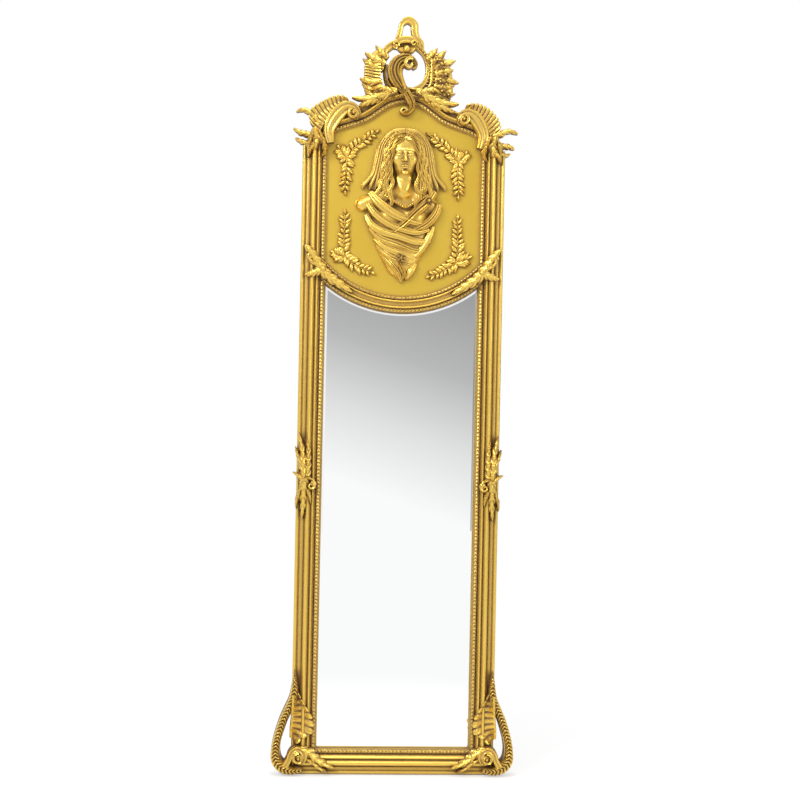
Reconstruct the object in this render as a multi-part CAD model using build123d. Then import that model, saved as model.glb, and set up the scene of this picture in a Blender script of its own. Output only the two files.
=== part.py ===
from build123d import *
import math
import os

# Carved and gilded floor mirror with a relief panel over a tall bevelled glass.
# Millimetres. X is the width, Z is up, and the front faces -Y.
# The origin is on the floor, under the middle of the bottom rail.
# A height h is measured forward from the back plane of the frame.

# Frame members
HALF_W = 240.0           # centre line to the outer edge of a stile
STILE_W = 58.0           # face width of a stile
BOTTOM_W = 62.0          # face width of the bottom rail
HEAD_W = 40.0            # face width of the head rails
STILE_TOP = 1484.0       # where the stiles end and the head rails start
ARCH_RISE = 104.5        # rise of the head opening above the stiles
BACK_Y = 22.0            # Y of the back plane
REBATE_W = 12.0          # rebate in the stiles and the bottom rail
HEAD_REBATE_W = 10.0     # rebate in the head rails and the divider
REBATE_H = 22.0          # depth of the rebates from the back
SEAT_H = 29.0            # height of the seats under the carved strips
SEAT_W = 13.0            # width of a strip seat on a stile
HEAD_SEAT_W = 12.0       # width of a strip seat on the head rails

# Divider, a rail on two arcs about one centre
ARC_Z = 1382.0           # height of the arcs' centre
PANEL_ARC_R = 248.0      # sight edge under the panel
DIVIDER_W = 40.0         # from there to the sight edge over the glass
DIVIDER_SEAT_W = 10.0    # strip seats on both edges of the divider

# Carved strips
STRIP_W = 11.0
DIVIDER_STRIP_W = 9.0
STRIP_T = 5.0

# Glass, panel and backing
UNDER_LIP = 7.0          # how far the sheets reach behind the sight edges
GLASS_T = 4.0
BEVEL_W = 14.0
BEVEL_T = 2.0
BACKING_T = 6.0
BACKING_INSET = 1.0
PANEL_T = 12.0

# Back hardware
PLATE_T = 2.0
PLATE_W = 14.0
SCREW_R = 1.75
SCREW_HEAD_R = 3.4
SCREW_HEAD_T = 1.5
DOWEL_R = 5.0
DOWEL_L = 40.0
DOWEL_SIDES = 8
DOWEL_H = 15.0
CLIP_T = 1.2
CLIP_W = 12.0
CLIP_FOOT = 18.0
CLIP_TONGUE = 16.0
CLIP_GAP = 0.3

# Ring hangers
HANGER_Z = 1350.0        # height of the ring's hinge line
HANGER_PLATE_L = 55.0
HANGER_PLATE_W = 16.0
HANGER_PLATE_T = 1.5
RING_WIRE_R = 2.0
RING_CLEARANCE = 0.05
BARREL_WALL = 1.15
RING_LIFT = 0.2          # gap between the folded ring and its plate
RING_HALF_W = 14.0
RING_CORNER_R = 3.5
RING_LEG = 11.0

SIGHT_HALF = HALF_W - STILE_W
GLASS_ARC_R = PANEL_ARC_R + DIVIDER_W
STRIP_FRONT = SEAT_H + STRIP_T
PEAK_Z = STILE_TOP + ARCH_RISE
HANGER_X = HALF_W - (STILE_W - REBATE_W) / 2


def at(x, h, z):
    """A point at height h in front of the back plane."""
    return Vector(x, BACK_Y - h, z)


def polygon(points):
    """A closed wire through points."""
    return Wire.make_polygon(points, close=True)


def prism(points, run):
    """A straight solid whose section is a polygon."""
    return Solid.extrude(Face(polygon(points)), run)


def loft(sections):
    """A solid with straight lines from each section to the next."""
    return Solid.make_loft(sections, ruled=True)


def faceted(rings):
    """A solid with flat facets between rings of as many places."""
    faces = [Face(polygon(rings[0])), Face(polygon(rings[-1]))]
    for low, high in zip(rings, rings[1:]):
        for i in range(len(low)):
            j = (i + 1) % len(low)
            faces.append(Face(polygon([low[i], low[j], high[j]])))
            faces.append(Face(polygon([low[i], high[j], high[i]])))
    return Solid(Shell(faces))


def bowed(a, b, rise, steps):
    """Places after a on a bow up to b. The rise is square to the chord."""
    across = b[0] - a[0]
    up = b[1] - a[1]
    length = math.hypot(across, up)
    places = []
    for i in range(1, steps + 1):
        t = i / steps
        lift = 4 * rise * t * (1 - t) / length
        places.append((a[0] + across * t - up * lift, a[1] + up * t + across * lift))
    return places


def largest(shape):
    """The main solid of a shape, without the slivers of a cut."""
    return max(shape.solids(), key=lambda solid: solid.volume)


def slab(low_x, high_x, low_z, high_z, low_h, high_h):
    """A flat rectangular piece between two heights."""
    corners = [at(low_x, low_h, low_z), at(high_x, low_h, low_z),
               at(high_x, low_h, high_z), at(low_x, low_h, high_z)]
    return prism(corners, Vector(0, low_h - high_h, 0))


def mirrored(shape):
    """The same piece on the other side of the centre line."""
    return shape.mirror(Plane.YZ)


# Frame mouldings

def stile_profile(width):
    """The stile's moulding as places (d, h), with d counted from the outer edge.

    From the outside in: torus, cove, broad round, bead and strip seat.
    """
    torus = [(0, 26)] + bowed((0, 26), (8.5, 28.5), 3.6, 3)
    cove = [(12, 29.5)] + bowed((12, 29.5), (19, 37), -1.6, 2)
    broad = [(21, 35.5)] + bowed((21, 35.5), (34, 36.5), 8.0, 5)
    bead = [(36, 36.5)] + bowed((36, 36.5), (42, 36.5), 3.5, 2)
    moulded = [(d * width / STILE_W, h) for d, h in torus + cove + broad + bead]
    seat = width - SEAT_W
    lip = width - REBATE_W
    return [(0, 0)] + moulded + [
        (seat, 34.5), (seat, SEAT_H), (width, SEAT_H), (width, REBATE_H),
        (lip, REBATE_H), (lip, 0)]


def mitre_wedge():
    """The space under the mitre of the right-hand bottom corner."""
    reach = 3 * HALF_W
    slope = BOTTOM_W / STILE_W
    corner = at(HALF_W, -10, 0)
    far = at(HALF_W - reach, -10, reach * slope)
    below = at(HALF_W - reach, -10, -reach)
    under = at(HALF_W, -10, -reach)
    return prism([corner, far, below, under], Vector(0, -reach, 0))


def make_stile():
    """The right stile, mitred at its foot."""
    section = [at(HALF_W - d, h, 0) for d, h in stile_profile(STILE_W)]
    bar = prism(section, Vector(0, 0, STILE_TOP))
    return largest(bar - mitre_wedge())


def make_bottom_rail():
    """The bottom rail, mitred at both ends."""
    section = [at(-HALF_W, h, d) for d, h in stile_profile(BOTTOM_W)]
    bar = prism(section, Vector(2 * HALF_W, 0, 0))
    wedge = mitre_wedge()
    return largest(bar & wedge & mirrored(wedge))


# The head opening, from the right stile up to the crown, in shares of the
# opening's half width and of the arch's rise
HEAD_LINE = [(1.0, 0.0), (0.967, 0.14), (0.923, 0.27), (0.846, 0.354), (0.714, 0.43),
             (0.58, 0.507), (0.456, 0.603), (0.324, 0.766), (0.18, 0.93), (0.0, 1.0)]
STATION_TURN = 8.0       # most that the line turns between two stations
STATION_RUN = 32.0       # most that it runs between two stations


def head_stations():
    """Places along the head opening, each with its outward direction."""
    knots = [(SIGHT_HALF * across, STILE_TOP + ARCH_RISE * up) for across, up in HEAD_LINE]
    path = Edge.make_spline([Vector(x, 0, z) for x, z in knots],
                            tangents=[Vector(0, 0, 1), Vector(-1, 0, 0)])
    marks = [0.0]
    samples = 300
    for i in range(1, samples):
        t = i / samples
        turned = (path % t).get_angle(path % marks[-1]) > STATION_TURN
        ran = ((path @ t) - (path @ marks[-1])).length > STATION_RUN
        if turned or ran:
            marks.append(t)
    marks.append(1.0)
    places = []
    for t in marks:
        spot = path @ t
        along = path % t
        places.append((spot.X, spot.Z, along.Z, -along.X))
    return places


def along_head(profile):
    """A moulding on the right half of the head. Its profile counts n outward."""
    sections = []
    for x, z, out_x, out_z in head_stations():
        sections.append([at(x + out_x * n, h, z + out_z * n) for n, h in profile])
    return faceted(sections)


def make_head_rail():
    """The right head rail: outer bead, cove, broad bead and seat."""
    edge = HEAD_W
    outer = [(edge, 33)] + bowed((edge, 33), (edge - 7, 33), -5.0, 2)
    cove = bowed((edge - 7, 33), (edge - 16.5, 33), 2.4, 2)
    broad = bowed((edge - 16.5, 33), (edge - 25.5, 34.5), -8.0, 4)
    return along_head([(edge, 0)] + outer + cove + broad + [
        (HEAD_SEAT_W, 34.5), (HEAD_SEAT_W, SEAT_H), (0, SEAT_H), (0, REBATE_H),
        (HEAD_REBATE_W, REBATE_H), (HEAD_REBATE_W, 0)])


ARC_STEPS = 14           # flats along each moulding of the divider


def on_arc(profile):
    """A moulding along the divider, in flats. Its profile counts the radius r."""
    half_turn = math.asin(SIGHT_HALF / PANEL_ARC_R) + math.radians(8)
    sections = []
    for i in range(ARC_STEPS + 1):
        angle = half_turn * (2 * i / ARC_STEPS - 1)
        sections.append([at(r * math.sin(angle), h, ARC_Z - r * math.cos(angle))
                         for r, h in profile])
    return faceted(sections)


def make_divider(stiles):
    """The curved rail between the panel and the glass, tenoned into the rebates."""
    inner = PANEL_ARC_R
    outer = GLASS_ARC_R
    seat_a = inner + DIVIDER_SEAT_W
    seat_b = outer - DIVIDER_SEAT_W
    rebate_a = inner + HEAD_REBATE_W
    rebate_b = outer - HEAD_REBATE_W
    ring = on_arc([
        (inner, REBATE_H), (inner, SEAT_H), (seat_a, SEAT_H), (seat_a, 34),
        (seat_a + 1.5, 37), (seat_a + 3.5, 37), (seat_a + 5, 34), (seat_a + 7, 32.5),
        (seat_b - 7, 32.5), (seat_b - 5, 34), (seat_b - 3.5, 37), (seat_b - 1.5, 37),
        (seat_b, 34), (seat_b, SEAT_H), (outer, SEAT_H), (outer, REBATE_H),
        (rebate_b, REBATE_H), (rebate_b, 0), (rebate_a, 0), (rebate_a, REBATE_H)])
    tenon_end = SIGHT_HALF + REBATE_W
    span = slab(-tenon_end, tenon_end, ARC_Z - 2 * outer, ARC_Z, -5, 60)
    return largest((ring & span) - stiles[0] - stiles[1])


# Carved strips on the seats, each a domed moulding

def strip_profile(start, width):
    """A domed strip section as distances and heights."""
    third = width / 3
    return [(start, SEAT_H), (start, SEAT_H + STRIP_T * 0.5), (start + third, STRIP_FRONT),
            (start + 2 * third, STRIP_FRONT), (start + width, SEAT_H + STRIP_T * 0.5),
            (start + width, SEAT_H)]


STRIP_START = 1.0        # gap between the sight edge and a strip


def arc_height(radius, x):
    """Height of an arc about the arcs' centre, at a distance from the middle."""
    return ARC_Z - math.sqrt(radius ** 2 - x ** 2)


def arc_foot(radius):
    """Height at which an arc about the arcs' centre crosses the sight edge."""
    return arc_height(radius, SIGHT_HALF)


def side_strip(low_z, high_z):
    """A straight strip on the right stile."""
    points = [at(SIGHT_HALF + n, h, low_z) for n, h in strip_profile(STRIP_START, STRIP_W)]
    return prism(points, Vector(0, 0, high_z - low_z))


def make_glass_strips(divider):
    """Strips round the glass: right side, bottom and under the divider."""
    wedge = mitre_wedge()
    side = side_strip(BOTTOM_W - SEAT_W, arc_foot(GLASS_ARC_R)) - wedge
    across = SIGHT_HALF + SEAT_W
    points = [at(-across, h, BOTTOM_W - n) for n, h in strip_profile(STRIP_START, STRIP_W)]
    bottom = prism(points, Vector(2 * across, 0, 0)) & wedge & mirrored(wedge)
    arc_start = GLASS_ARC_R - 0.5 - DIVIDER_STRIP_W
    window = slab(-SIGHT_HALF, SIGHT_HALF, 0, ARC_Z, 0, 60)
    arc = on_arc(strip_profile(arc_start, DIVIDER_STRIP_W)) & window
    return largest(side), largest(bottom), largest(arc - divider)


def make_panel_strips(divider):
    """Strips round the panel: right side, over the divider and along the head."""
    side = side_strip(arc_foot(PANEL_ARC_R), STILE_TOP)
    window = slab(-SIGHT_HALF, SIGHT_HALF, 0, ARC_Z, 0, 60)
    arc = on_arc(strip_profile(PANEL_ARC_R + 0.5, DIVIDER_STRIP_W)) & window
    head = along_head(strip_profile(STRIP_START, STRIP_W - STRIP_START))
    return side, largest(arc - divider), head


# Sheets

def glass_outline(inset, h):
    """Edge of the glass, drawn in by inset. Its top follows the divider."""
    half = SIGHT_HALF + UNDER_LIP - inset
    low = BOTTOM_W - UNDER_LIP + inset
    radius = GLASS_ARC_R - UNDER_LIP + inset
    top = arc_height(radius, half)
    corners = [at(-half, h, top), at(-half, h, low), at(half, h, low), at(half, h, top)]
    middle = at(0, h, ARC_Z - radius)
    return Wire([
        Edge.make_line(corners[0], corners[1]),
        Edge.make_line(corners[1], corners[2]),
        Edge.make_line(corners[2], corners[3]),
        Edge.make_three_point_arc(corners[3], middle, corners[0]),
    ])


def make_glass():
    """Silvered glass with a bevelled front edge."""
    back = REBATE_H - GLASS_T
    edge = REBATE_H - BEVEL_T
    body = loft([glass_outline(0, back), glass_outline(0, edge)])
    bevel = loft([glass_outline(0, edge), glass_outline(BEVEL_W, REBATE_H)])
    return largest(body + bevel)


def make_backing():
    """Backing board behind the glass."""
    front = REBATE_H - GLASS_T
    face = Face(glass_outline(BACKING_INSET, front))
    return Solid.extrude(face, Vector(0, BACKING_T, 0))


def make_panel():
    """The board that carries the bust, cut to the head and the divider."""
    back = REBATE_H - PANEL_T
    half = SIGHT_HALF + UNDER_LIP
    radius = PANEL_ARC_R + UNDER_LIP
    foot = arc_height(radius, half)
    right = []
    for x, z, out_x, out_z in head_stations():
        right.append(at(x + out_x * UNDER_LIP, back, z + out_z * UNDER_LIP))
    left = [Vector(-p.X, p.Y, p.Z) for p in reversed(right[:-1])]
    foot_right = at(half, back, foot)
    foot_left = at(-half, back, foot)
    arc = Edge.make_three_point_arc(foot_left, at(0, back, ARC_Z - radius), foot_right)
    outline = [foot_right] + right + left + [foot_left]
    edges = [Edge.make_line(a, b) for a, b in zip(outline, outline[1:])]
    return Solid.extrude(Face(Wire([arc] + edges)), Vector(0, -PANEL_T, 0))


# Ornament. A stroke is a list of places (x, z, half width) along its centre
# line. A ribbon gives it a smooth outline, upright sides and a bevelled crown.

STROKE_TURN = 28.0       # a stroke that turns more than this gets a facet between places


def heading(a, b):
    """Direction from one place to the next, in degrees."""
    return math.degrees(math.atan2(b[1] - a[1], b[0] - a[0]))


def turn_at(a, b, c):
    """How much a stroke turns at b."""
    return abs((heading(b, c) - heading(a, b) + 180) % 360 - 180)


def smooth(stroke):
    """The stroke's places, with one more on a smooth curve in each tight span."""
    ends = [stroke[0]] + list(stroke) + [stroke[-1]]
    places = [stroke[0]]
    for i in range(1, len(stroke)):
        a, b, c, d = ends[i - 1:i + 3]
        tight = (i > 1 and turn_at(a, b, c) > STROKE_TURN
                 or i < len(stroke) - 1 and turn_at(b, c, d) > STROKE_TURN)
        if tight:
            places.append(tuple((9 * q + 9 * r - p - s) / 16
                                for p, q, r, s in zip(a, b, c, d)))
        places.append(c)
    return places


def ribbon_outline(places, share, h):
    """Outline of a stroke, narrowed to a share of its width."""
    left = []
    right = []
    last = len(places) - 1
    for i, (x, z, half) in enumerate(places):
        before = places[max(i - 1, 0)]
        after = places[min(i + 1, last)]
        run = after[0] - before[0]
        rise = after[1] - before[1]
        reach = half * share / math.hypot(run, rise)
        left.append(at(x - rise * reach, h, z + run * reach))
        right.append(at(x + rise * reach, h, z - run * reach))
    right.reverse()
    return left + right


def ribbon(stroke, low, high, crown=0.5):
    """A carved band between two heights, its crown narrower than its foot."""
    places = smooth(stroke)
    return faceted([ribbon_outline(places, 1.0, low), ribbon_outline(places, crown, high)])


def placed(stroke, x, z, side=1):
    """A stroke moved to its anchor. Side -1 turns it to the left."""
    return [(side * (x + u), z + v, half) for u, v, half in stroke]


def carved(ribbons, carriers=()):
    """Ribbons in one piece, cut to seat on what carries them."""
    whole = ribbons[0]
    if len(ribbons) > 1:
        whole = whole.fuse(*ribbons[1:])
    for carrier in carriers:
        whole = whole - carrier
    return largest(whole)


# Crest, about the crown of the head opening

CREST_LOW = 12.0
CREST_HIGH = 34.0

LOOP = [(-25, 142, 5), (-21, 156, 5.5), (-17, 176, 4.5), (-12, 192, 5.5), (3, 200, 9),
        (18, 191, 9), (20, 174, 8.5), (24, 157, 8), (34, 146, 7), (37, 130, 5)]
RING_RIGHT = [(-12, 143, 6), (6, 143, 7), (28, 134, 7), (44, 117, 6), (52, 91, 5.5), (50, 67, 5.5),
              (42, 49, 6.5), (28, 37, 8), (12, 29, 9)]
RING_LEFT = [(2, 143, 7), (-28, 142, 9), (-48, 127, 8), (-56, 108, 5), (-51, 88, 4),
             (-50, 66, 4), (-43, 48, 6), (-28, 30, 8), (-10, 24, 9)]
PLUME = [(0, 24, 9), (-14, 42, 13), (-26, 62, 16), (-28, 82, 16), (-19, 99, 14),
         (-1, 107, 11), (14, 102, 8), (21, 91, 6), (14, 83, 3.5)]
TOP_CURL = [(-27, 128, 5), (-24, 141, 7), (-10, 149, 9), (8, 149, 9), (20, 143, 7),
            (18, 134, 3)]
CUP = [(-20, 131, 5), (-10, 127, 8), (2, 126, 10), (13, 129, 8), (20, 134, 4)]
PENDANT = [(-6, 34, 8), (3, 20, 10), (12, 4, 10), (15, -9, 7), (8, -21, 5), (-3, -24, 4.5),
           (-11, -21, 3)]
WING_LEFT = [(-56, 126, 9), (-70, 110, 14), (-80, 92, 16), (-83, 74, 15), (-82, 56, 15),
             (-76, 36, 20), (-70, 18, 20), (-54, 6, 14)]
WING_LEFT_TIPS = [
    [(-60, 120, 8), (-71, 128, 6), (-74, 136, 1)],
    [(-80, 106, 9), (-92, 113, 7), (-97, 119, 1)],
    [(-86, 92, 10), (-97, 99, 7), (-103, 105, 1)],
    [(-84, 62, 11), (-97, 56, 7), (-108, 57, 1)],
]
BASE_LEFT = [(-22, 30, 10), (-52, 18, 14), (-80, 8, 12), (-106, 7, 7), (-127, 10, 2)]
WING_RIGHT = [(56, 126, 9), (68, 110, 15), (80, 92, 22), (85, 70, 25), (86, 48, 26),
              (85, 26, 25), (70, 6, 18)]
WING_RIGHT_TIPS = [
    [(60, 118, 8), (70, 127, 6), (74, 135, 1)],
    [(82, 108, 9), (90, 120, 7), (94, 129, 1)],
    [(96, 92, 9), (108, 101, 7), (118, 107, 1)],
    [(102, 58, 9), (114, 53, 7), (126, 54, 1)],
]
BASE_RIGHT = [(24, 30, 10), (54, 16, 14), (84, 4, 12), (108, 1, 7), (126, 2, 2)]


def make_crest(carriers):
    """The pierced crest: frame with its loop, plume, curl, pendant and wings."""
    def strokes(strokes_list, low, high):
        return [ribbon(placed(s, 0, PEAK_Z), low, high) for s in strokes_list]

    rims = strokes([LOOP, RING_RIGHT, RING_LEFT], CREST_LOW, CREST_HIGH)
    frame = carved(rims, carriers)
    plume = carved(strokes([PLUME], 18, 54), carriers + [frame])
    curl = carved(strokes([TOP_CURL, CUP], 22, 48), carriers + [frame, plume])
    pendant = carved(strokes([PENDANT], 24, 60), carriers + [frame, plume])
    taken = carriers + [frame, plume, pendant]
    left = carved(strokes([WING_LEFT], 14, 42) + strokes(WING_LEFT_TIPS, 16, 32)
                  + strokes([BASE_LEFT], 26, 54), taken)
    right = carved(strokes([WING_RIGHT], 14, 44) + strokes(WING_RIGHT_TIPS, 16, 32)
                   + strokes([BASE_RIGHT], 26, 54), taken)
    return frame, plume, curl, pendant, left, right


# Shoulders, about the sight corner at the top of each stile

SHOULDER_LEFT = [
    [(-6, 6, 8), (-2, 34, 12), (-10, 56, 15), (-24, 76, 16), (-42, 90, 14),
     (-60, 88, 11), (-70, 76, 7), (-66, 66, 4), (-56, 66, 2)],
]
SHOULDER_LEFT_SHELL = [
    [(-38, 94, 8), (-16, 96, 14), (4, 90, 17), (19, 78, 17), (29, 64, 14), (33, 48, 9)],
    [(-52, 96, 8), (-40, 108, 6), (-35, 119, 1)],
    [(20, 50, 8), (34, 70, 7), (48, 81, 5), (62, 84, 4), (75, 79, 1.5)],
]
SHOULDER_LEFT_LEAF = [
    [(34, 38, 9), (25, 16, 12), (30, 0, 12), (42, -12, 7), (45, -30, 2)],
    [(32, 22, 8), (50, 27, 6), (66, 31, 5), (81, 40, 1.5)],
    [(34, 2, 8), (50, 5, 6), (66, 11, 4), (76, 17, 1.5)],
]
SHOULDER_RIGHT = [
    [(-2, 2, 8), (4, 28, 12), (-2, 50, 14), (-16, 72, 15), (-32, 82, 13),
     (-46, 80, 10), (-55, 69, 7), (-51, 59, 4), (-42, 59, 2)],
]
SHOULDER_RIGHT_SHELL = [
    [(-28, 86, 8), (-8, 88, 14), (10, 82, 16), (24, 69, 16), (33, 54, 13), (37, 38, 8)],
    [(-38, 90, 8), (-28, 100, 6), (-24, 108, 1)],
]
SHOULDER_RIGHT_LEAF = [
    [(34, 30, 9), (26, 8, 12), (30, -8, 12), (42, -18, 7), (46, -32, 2)],
    [(26, 34, 9), (44, 40, 7), (62, 48, 5), (76, 47, 4), (88, 42, 1.5)],
    [(34, 12, 8), (52, 12, 6), (68, 11, 5), (80, 5, 1.5)],
    [(34, -6, 8), (48, -8, 6), (60, -10, 4), (70, -6, 1.5)],
]


def make_shoulder(side, scroll, shell, leaf, carriers):
    """A shoulder in two pieces: the scroll with its shell, and the leaf with ears."""
    def strokes(strokes_list, low, high):
        return [ribbon(placed(s, SIGHT_HALF, STILE_TOP, side), low, high)
                for s in strokes_list]

    scrolls = strokes(scroll, 14, 58) + strokes(shell, 12, 38)
    upper = carved(scrolls, carriers)
    lower = carved(strokes(leaf[:1], 14, 52) + strokes(leaf[1:], 12, 32),
                   carriers + [upper])
    return upper, lower


# Clasps, about the point where the divider's lower edge meets the stile

CLASP = [
    [(48, 88, 4), (38, 78, 9), (26, 62, 11), (15, 45, 12), (4, 30, 13)],
    [(2, 32, 11), (20, 27, 11), (34, 22, 9), (47, 19, 3)],
    [(6, 30, 13), (-12, 14, 13), (-34, 0, 11), (-64, -19, 2.5)],
]


def make_clasp(carriers):
    """Three leaves from one knot, over the end of the divider. Right side."""
    foot = arc_foot(GLASS_ARC_R)
    leaves = [ribbon(placed(s, SIGHT_HALF, foot), 33, 54) for s in CLASP]
    return carved(leaves, carriers)


# Side leaves, half way up the glass, about the outer edge of the stile

SIDE_LEAF_Z = 700.0
SIDE_LEAF = [
    [(-18, -6, 12), (-16, 35, 11), (-12, 72, 7), (-4, 106, 1.5)],
    [(-26, 5, 9), (-27, 40, 8), (-27, 68, 6), (-23, 92, 1.5)],
    [(-14, 0, 8), (-2, 8, 5), (9, 13, 1.5)],
    [(-20, 0, 12), (-18, -30, 11), (-17, -62, 8), (-15, -95, 1.5)],
    [(-26, -26, 7), (-32, -44, 5), (-35, -60, 1.5)],
    [(-26, 2, 5), (-38, -4, 4.5), (-44, -15, 4), (-39, -25, 3.5), (-29, -24, 2.5)],
]


def make_side_leaf(carriers):
    """Acanthus leaves up and down the stile from a small volute. Right side."""
    leaves = [ribbon(placed(s, HALF_W, SIDE_LEAF_Z), 26, 54) for s in SIDE_LEAF]
    return carved(leaves, carriers)


# Feet, about the outer edge of the stile at the floor

FOOT_SCROLL = [(-6, 246, 2), (-6, 222, 6), (-6, 200, 9), (-2, 178, 10), (8, 155, 10),
               (18, 132, 10), (26, 108, 10), (33, 82, 10), (36, 57, 11), (33, 34, 13),
               (18, 18, 13), (-4, 12, 10), (-26, 14, 7)]
FOOT_VOLUTE = [(14, 22, 9), (5, 38, 8), (-1, 54, 8), (-11, 63, 8), (-24, 61, 8),
               (-32, 48, 8), (-28, 35, 6), (-18, 31, 5)]
FOOT_SHELL = [(-4, 190, 6), (-12, 168, 12), (-26, 146, 18), (-34, 122, 19), (-27, 98, 16),
              (-10, 80, 12)]
FOOT_LEAF = [(-20, 66, 8), (-42, 56, 12), (-60, 40, 11), (-82, 27, 8), (-102, 19, 2)]


def make_foot(carriers):
    """A foot in two pieces: the C-scroll with its volute and leaf, and the shell."""
    def stroke(points, low, high, crown=0.5):
        return ribbon(placed(points, HALF_W, 0), low, high, crown)

    floor = slab(0, 2 * HALF_W, -40, 0, -10, 90)
    rim = [stroke(FOOT_SCROLL, 6, 58), stroke(FOOT_VOLUTE, 20, 64), stroke(FOOT_LEAF, 24, 54)]
    scroll = carved(rim, carriers + [floor])
    shell = carved([stroke(FOOT_SHELL, 20, 60)], carriers + [floor, scroll])
    return scroll, shell


# Laurel sprays in the corners of the panel

SPRAY_LOW_ARMS = [
    [(0, 0), (2, 38), (1, 76), (1, 111)],
    [(0, 0), (-20, -16), (-44, -28), (-71, -38)],
    [(0, 0), (14, 3), (25, 8)],
]
SPRAY_HIGH_ARMS = [
    [(0, 0), (-1, -28), (2, -58), (1, -87)],
    [(0, 0), (-20, 24), (-46, 46), (-76, 67)],
    [(0, 0), (9, 11), (16, 21)],
]
SPRAY_INSET = 45.0       # from the sight edge to the fork of a spray
SPRAY_RISE = 48.7        # from the divider up to the fork of a lower spray
SPRAY_DROP = 26.0        # from the stile's top down to the fork of an upper spray
SPRAY_SHIFT_X = 8.0      # the right-hand sprays sit a little further in
SPRAY_SHIFT_Z = 6.0      # and the lower one of them a little lower
STEM_HALF = 1.8
LEAF_L = 22.0
LEAF_HALF = 5.0
LEAF_CROWN = 0.4         # share of a leaf's outline that its ridge keeps
LEAF_PITCH = 30.0
LEAF_ANGLE = 40.0
SPRAY_H = 9.0
STEM_H = 5.4


def make_leaf(x, z, angle, length):
    """A pointed leaf from a place on the stem, raised along its middle."""
    rings = []
    for share, rise in ((1.0, 0), (LEAF_CROWN, SPRAY_H)):
        ring = []
        for along, across in ((-0.1, 0), (0.45, -LEAF_HALF), (1, 0), (0.45, LEAF_HALF)):
            u = (0.5 + (along - 0.5) * share) * length
            w = across * share
            ring.append(at(x + math.cos(angle) * u - math.sin(angle) * w, REBATE_H + rise,
                           z + math.sin(angle) * u + math.cos(angle) * w))
        rings.append(ring)
    return faceted(rings)


def make_spray(x, z, side, arms):
    """A spray of stems with leaves in pairs and one at each tip."""
    pieces = []
    for arm in arms:
        spots = [(side * (x + u), z + v) for u, v in arm]
        stem = [(px, pz, STEM_HALF) for px, pz in spots]
        pieces.append(ribbon(stem, REBATE_H, REBATE_H + STEM_H))
        for (ax, az), (bx, bz) in zip(spots, spots[1:]):
            run = math.hypot(bx - ax, bz - az)
            aim = math.atan2(bz - az, bx - ax)
            pairs = max(1, round(run / LEAF_PITCH))
            for i in range(pairs):
                share = (i + 0.5) / pairs
                px = ax + (bx - ax) * share
                pz = az + (bz - az) * share
                for turn in (LEAF_ANGLE, -LEAF_ANGLE):
                    pieces.append(make_leaf(px, pz, aim + math.radians(turn), LEAF_L))
        tip_x, tip_z = spots[-1]
        pieces.append(make_leaf(tip_x - math.cos(aim) * LEAF_L / 2,
                                tip_z - math.sin(aim) * LEAF_L / 2, aim, LEAF_L))
    return carved(pieces)


# Bust, about the middle of the panel

BUST_MARGIN = 64.0       # from the bust's widest place to the sight edge
BUST_WIDEST = 118.0      # reach of the outline below, before it is fitted
BUST_ABOVE = 184.0       # the outline's height above and below its middle
BUST_BELOW = 188.0
BUST_LOW_GAP = 28.0      # from the panel's lowest place up to the bust
BUST_HIGH_GAP = 14.5     # from the bust up to the panel's crown
BUST_OUTLINE = [(-3, 184), (-38, 162), (-58, 127), (-72, 80), (-80, 45), (-118, 2),
                (-110, -28), (-86, -67), (-58, -110), (-34, -145), (-20, -170), (-4, -188),
                (14, -176), (32, -154), (26, -130), (46, -112), (66, -80), (83, -40),
                (91, 12), (84, 44), (72, 76), (60, 108), (46, 146), (26, 174)]
HEAD_SPOT = (0, 120)
OVAL_SIDES = 10
HAIR = [
    [(-6, 176, 8), (-30, 160, 10), (-46, 126, 11), (-54, 86, 11), (-56, 48, 10), (-50, 8, 5)],
    [(6, 176, 8), (28, 160, 10), (42, 126, 11), (52, 86, 12), (62, 48, 12), (74, 12, 6)],
]
DRAPERY = [
    [(-78, 22, 12), (-54, 2, 13), (-20, -22, 13), (16, -32, 12), (52, -26, 11), (80, -12, 8)],
    [(72, 30, 10), (48, 4, 12), (20, -24, 11), (2, -52, 9), (-8, -80, 6)],
    [(-84, -50, 8), (-50, -62, 11), (-12, -72, 12), (28, -84, 11), (46, -96, 6)],
    [(-66, -86, 8), (-36, -94, 10), (0, -100, 11), (30, -112, 8)],
    [(-40, -124, 10), (-20, -138, 13), (0, -158, 12), (-3, -180, 6)],
    [(-10, -134, 8), (10, -142, 10), (30, -152, 7)],
]


PANEL_LOW = ARC_Z - PANEL_ARC_R
BUST_TALL = PEAK_Z - HEAD_W - PANEL_LOW - BUST_LOW_GAP - BUST_HIGH_GAP
BUST_FIT_X = (SIGHT_HALF - BUST_MARGIN) / BUST_WIDEST
BUST_FIT_Z = BUST_TALL / (BUST_ABOVE + BUST_BELOW)
BUST_Z = PANEL_LOW + BUST_LOW_GAP + BUST_BELOW * BUST_FIT_Z


def fitted(stroke):
    """A stroke of the bust, fitted to the panel."""
    return [(u * BUST_FIT_X, BUST_Z + v * BUST_FIT_Z, half * BUST_FIT_X) for u, v, half in stroke]


def scaled_outline(outline, share, h):
    """The bust's outline, drawn in towards its middle."""
    share_x = share * BUST_FIT_X
    share_z = share * BUST_FIT_Z
    return [at(u * share_x, h, BUST_Z + v * share_z) for u, v in outline]


def oval(x, z, half_x, half_z, h):
    """An upright many-sided oval at one height."""
    spots = []
    for i in range(OVAL_SIDES):
        angle = 2 * math.pi * i / OVAL_SIDES
        spots.append(at(BUST_FIT_X * (x + half_x * math.cos(angle)), h,
                        BUST_Z + BUST_FIT_Z * (z + half_z * math.sin(angle))))
    return spots


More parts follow.
